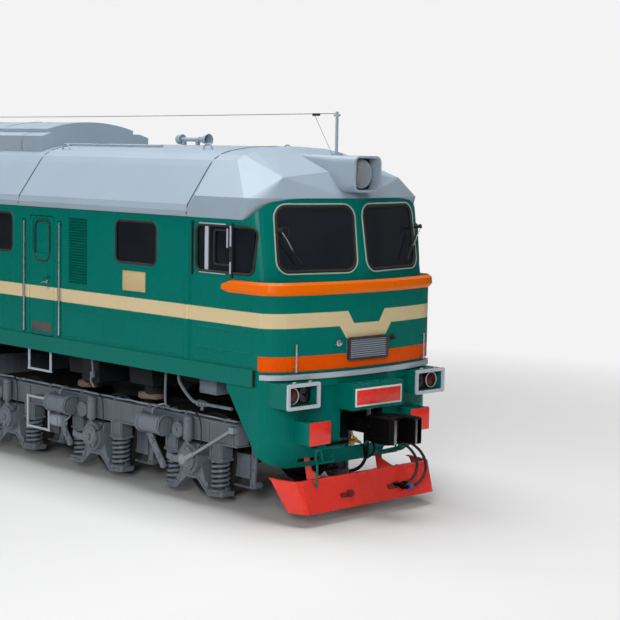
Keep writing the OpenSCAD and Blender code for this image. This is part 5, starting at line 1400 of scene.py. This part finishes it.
hoop(handles, 0.085, (7.80, -0.34, h(2.645)), 0.018, "Z", 24)
sweep(handles, [(7.715, -0.34, h(2.645)), (7.885, -0.34, h(2.645))], 0.016, sides=8)
for bm in (dials, handles):
    copies(bm, ENDS)
piece("desk_dials", dials, dark_inside, "body", "cab_plastic")
piece("desk_handles", handles, worn_steel, "body", "trim_light")

# %% [markdown]
# ## Floor
# A pale floor whose colour darkens towards the rear end, a painted shade. Some metres away from the middle it
# fades into the plain near-white backdrop, so that no horizon shows.

# %% Floor
BACKDROP = colour("#f3f3f3")
bm = bmesh.new()
bmesh.ops.create_circle(bm, cap_ends=True, segments=96, radius=160)
floor_mesh = bpy.data.meshes.new("floor")
bm.to_mesh(floor_mesh)
bm.free()
floor = bpy.data.objects.new("floor", floor_mesh)
bpy.context.scene.collection.objects.link(floor)
floor_paint, tree = new_material("pale studio floor")
axes = place_axes(tree)
# Painted shade: the floor's colour goes from #e2e2e2 at X = 10 down to #bcbcbc at X = 1 and behind it.
tone = blend_colours(tree, spread(tree, axes["X"], 1.0, 10.0), colour("#bcbcbc"), colour("#e2e2e2"))
matt = add(tree, "BsdfPrincipled", {"Base Color": tone, "Roughness": 0.7,
                                    "Specular IOR Level": 0.1})
plain = add(tree, "Emission", {"Color": BACKDROP, "Strength": 1.0})
place = add(tree, "TexCoord").outputs["Object"]
centred = add(tree, "VectorMath", {0: place, 1: (3.0, -2.0, 0.0)}, operation="SUBTRACT")
away = add(tree, "VectorMath", {0: centred.outputs[0]}, operation="LENGTH").outputs["Value"]
fade = spread(tree, away, 5.5, 17.0)
seen = add(tree, "LightPath").outputs["Is Camera Ray"]
floor_mix = add(tree, "MixShader", {0: calc(tree, "MULTIPLY", seen, fade), 1: matt.outputs[0],
                                    2: plain.outputs[0]})
finish_material(tree, floor_mix)
floor_mesh.materials.append(floor_paint)

# %% [markdown]
# ## Sky
# One even sky. Rays from the camera and through glass see the plain backdrop, glossy rays see a sky
# that darkens towards the horizon, and everything else is lit by a weak even light.

# %% World
world = bpy.data.worlds.new("studio")
bpy.context.scene.world = world
world.use_nodes = True
tree = world.node_tree
tree.nodes.clear()
direction = add(tree, "TexCoord").outputs["Generated"]
height = add(tree, "SeparateXYZ", {"Vector": direction}).outputs["Z"]
lit = add(tree, "Background", {"Color": (1, 1, 1, 1), "Strength": 0.11})
mirrored = add(tree, "Background", {"Color": BACKDROP, "Strength": spread(tree, height, 0.0, 0.9, 0.04, 0.9)})
plain = add(tree, "Background", {"Color": BACKDROP, "Strength": 1.0})
path = add(tree, "LightPath").outputs
with_mirror = add(tree, "MixShader", {0: path["Is Glossy Ray"], 1: lit.outputs[0], 2: mirrored.outputs[0]})
direct = calc(tree, "MAXIMUM", path["Is Camera Ray"], path["Is Transmission Ray"])
mixed = add(tree, "MixShader", {0: direct, 1: with_mirror.outputs[0], 2: plain.outputs[0]})
add(tree, "OutputWorld", {"Surface": mixed.outputs[0]})

# %% [markdown]
# ## Lamps
# Three broad lamps: one ahead of the nose, a weaker one along the side and a large one above the roof.
# Broad lamps give soft shadows with a clear direction.

# %% Lamps
def lamp(name, at, target, power, wide, deep):
    made = bpy.data.lights.new(name, "AREA")
    made.shape = "RECTANGLE"
    made.energy = power
    made.size, made.size_y = wide, deep
    holder = bpy.data.objects.new(name, made)
    holder.matrix_world = aim(Vector(at), Vector(at) - Vector(target))
    bpy.context.scene.collection.objects.link(holder)

lamp("front lamp", (24, -20, 11), (5, -1, 1.5), 3150, 7, 7)
lamp("side lamp", (-6, -20, 9), (2, -1, 1.5), 1080, 10, 6)
lamp("top lamp", (3, -1, 20), (3, 0, 3), 4900, 24, 10)

scene = bpy.context.scene
scene.view_settings.view_transform = "Standard"
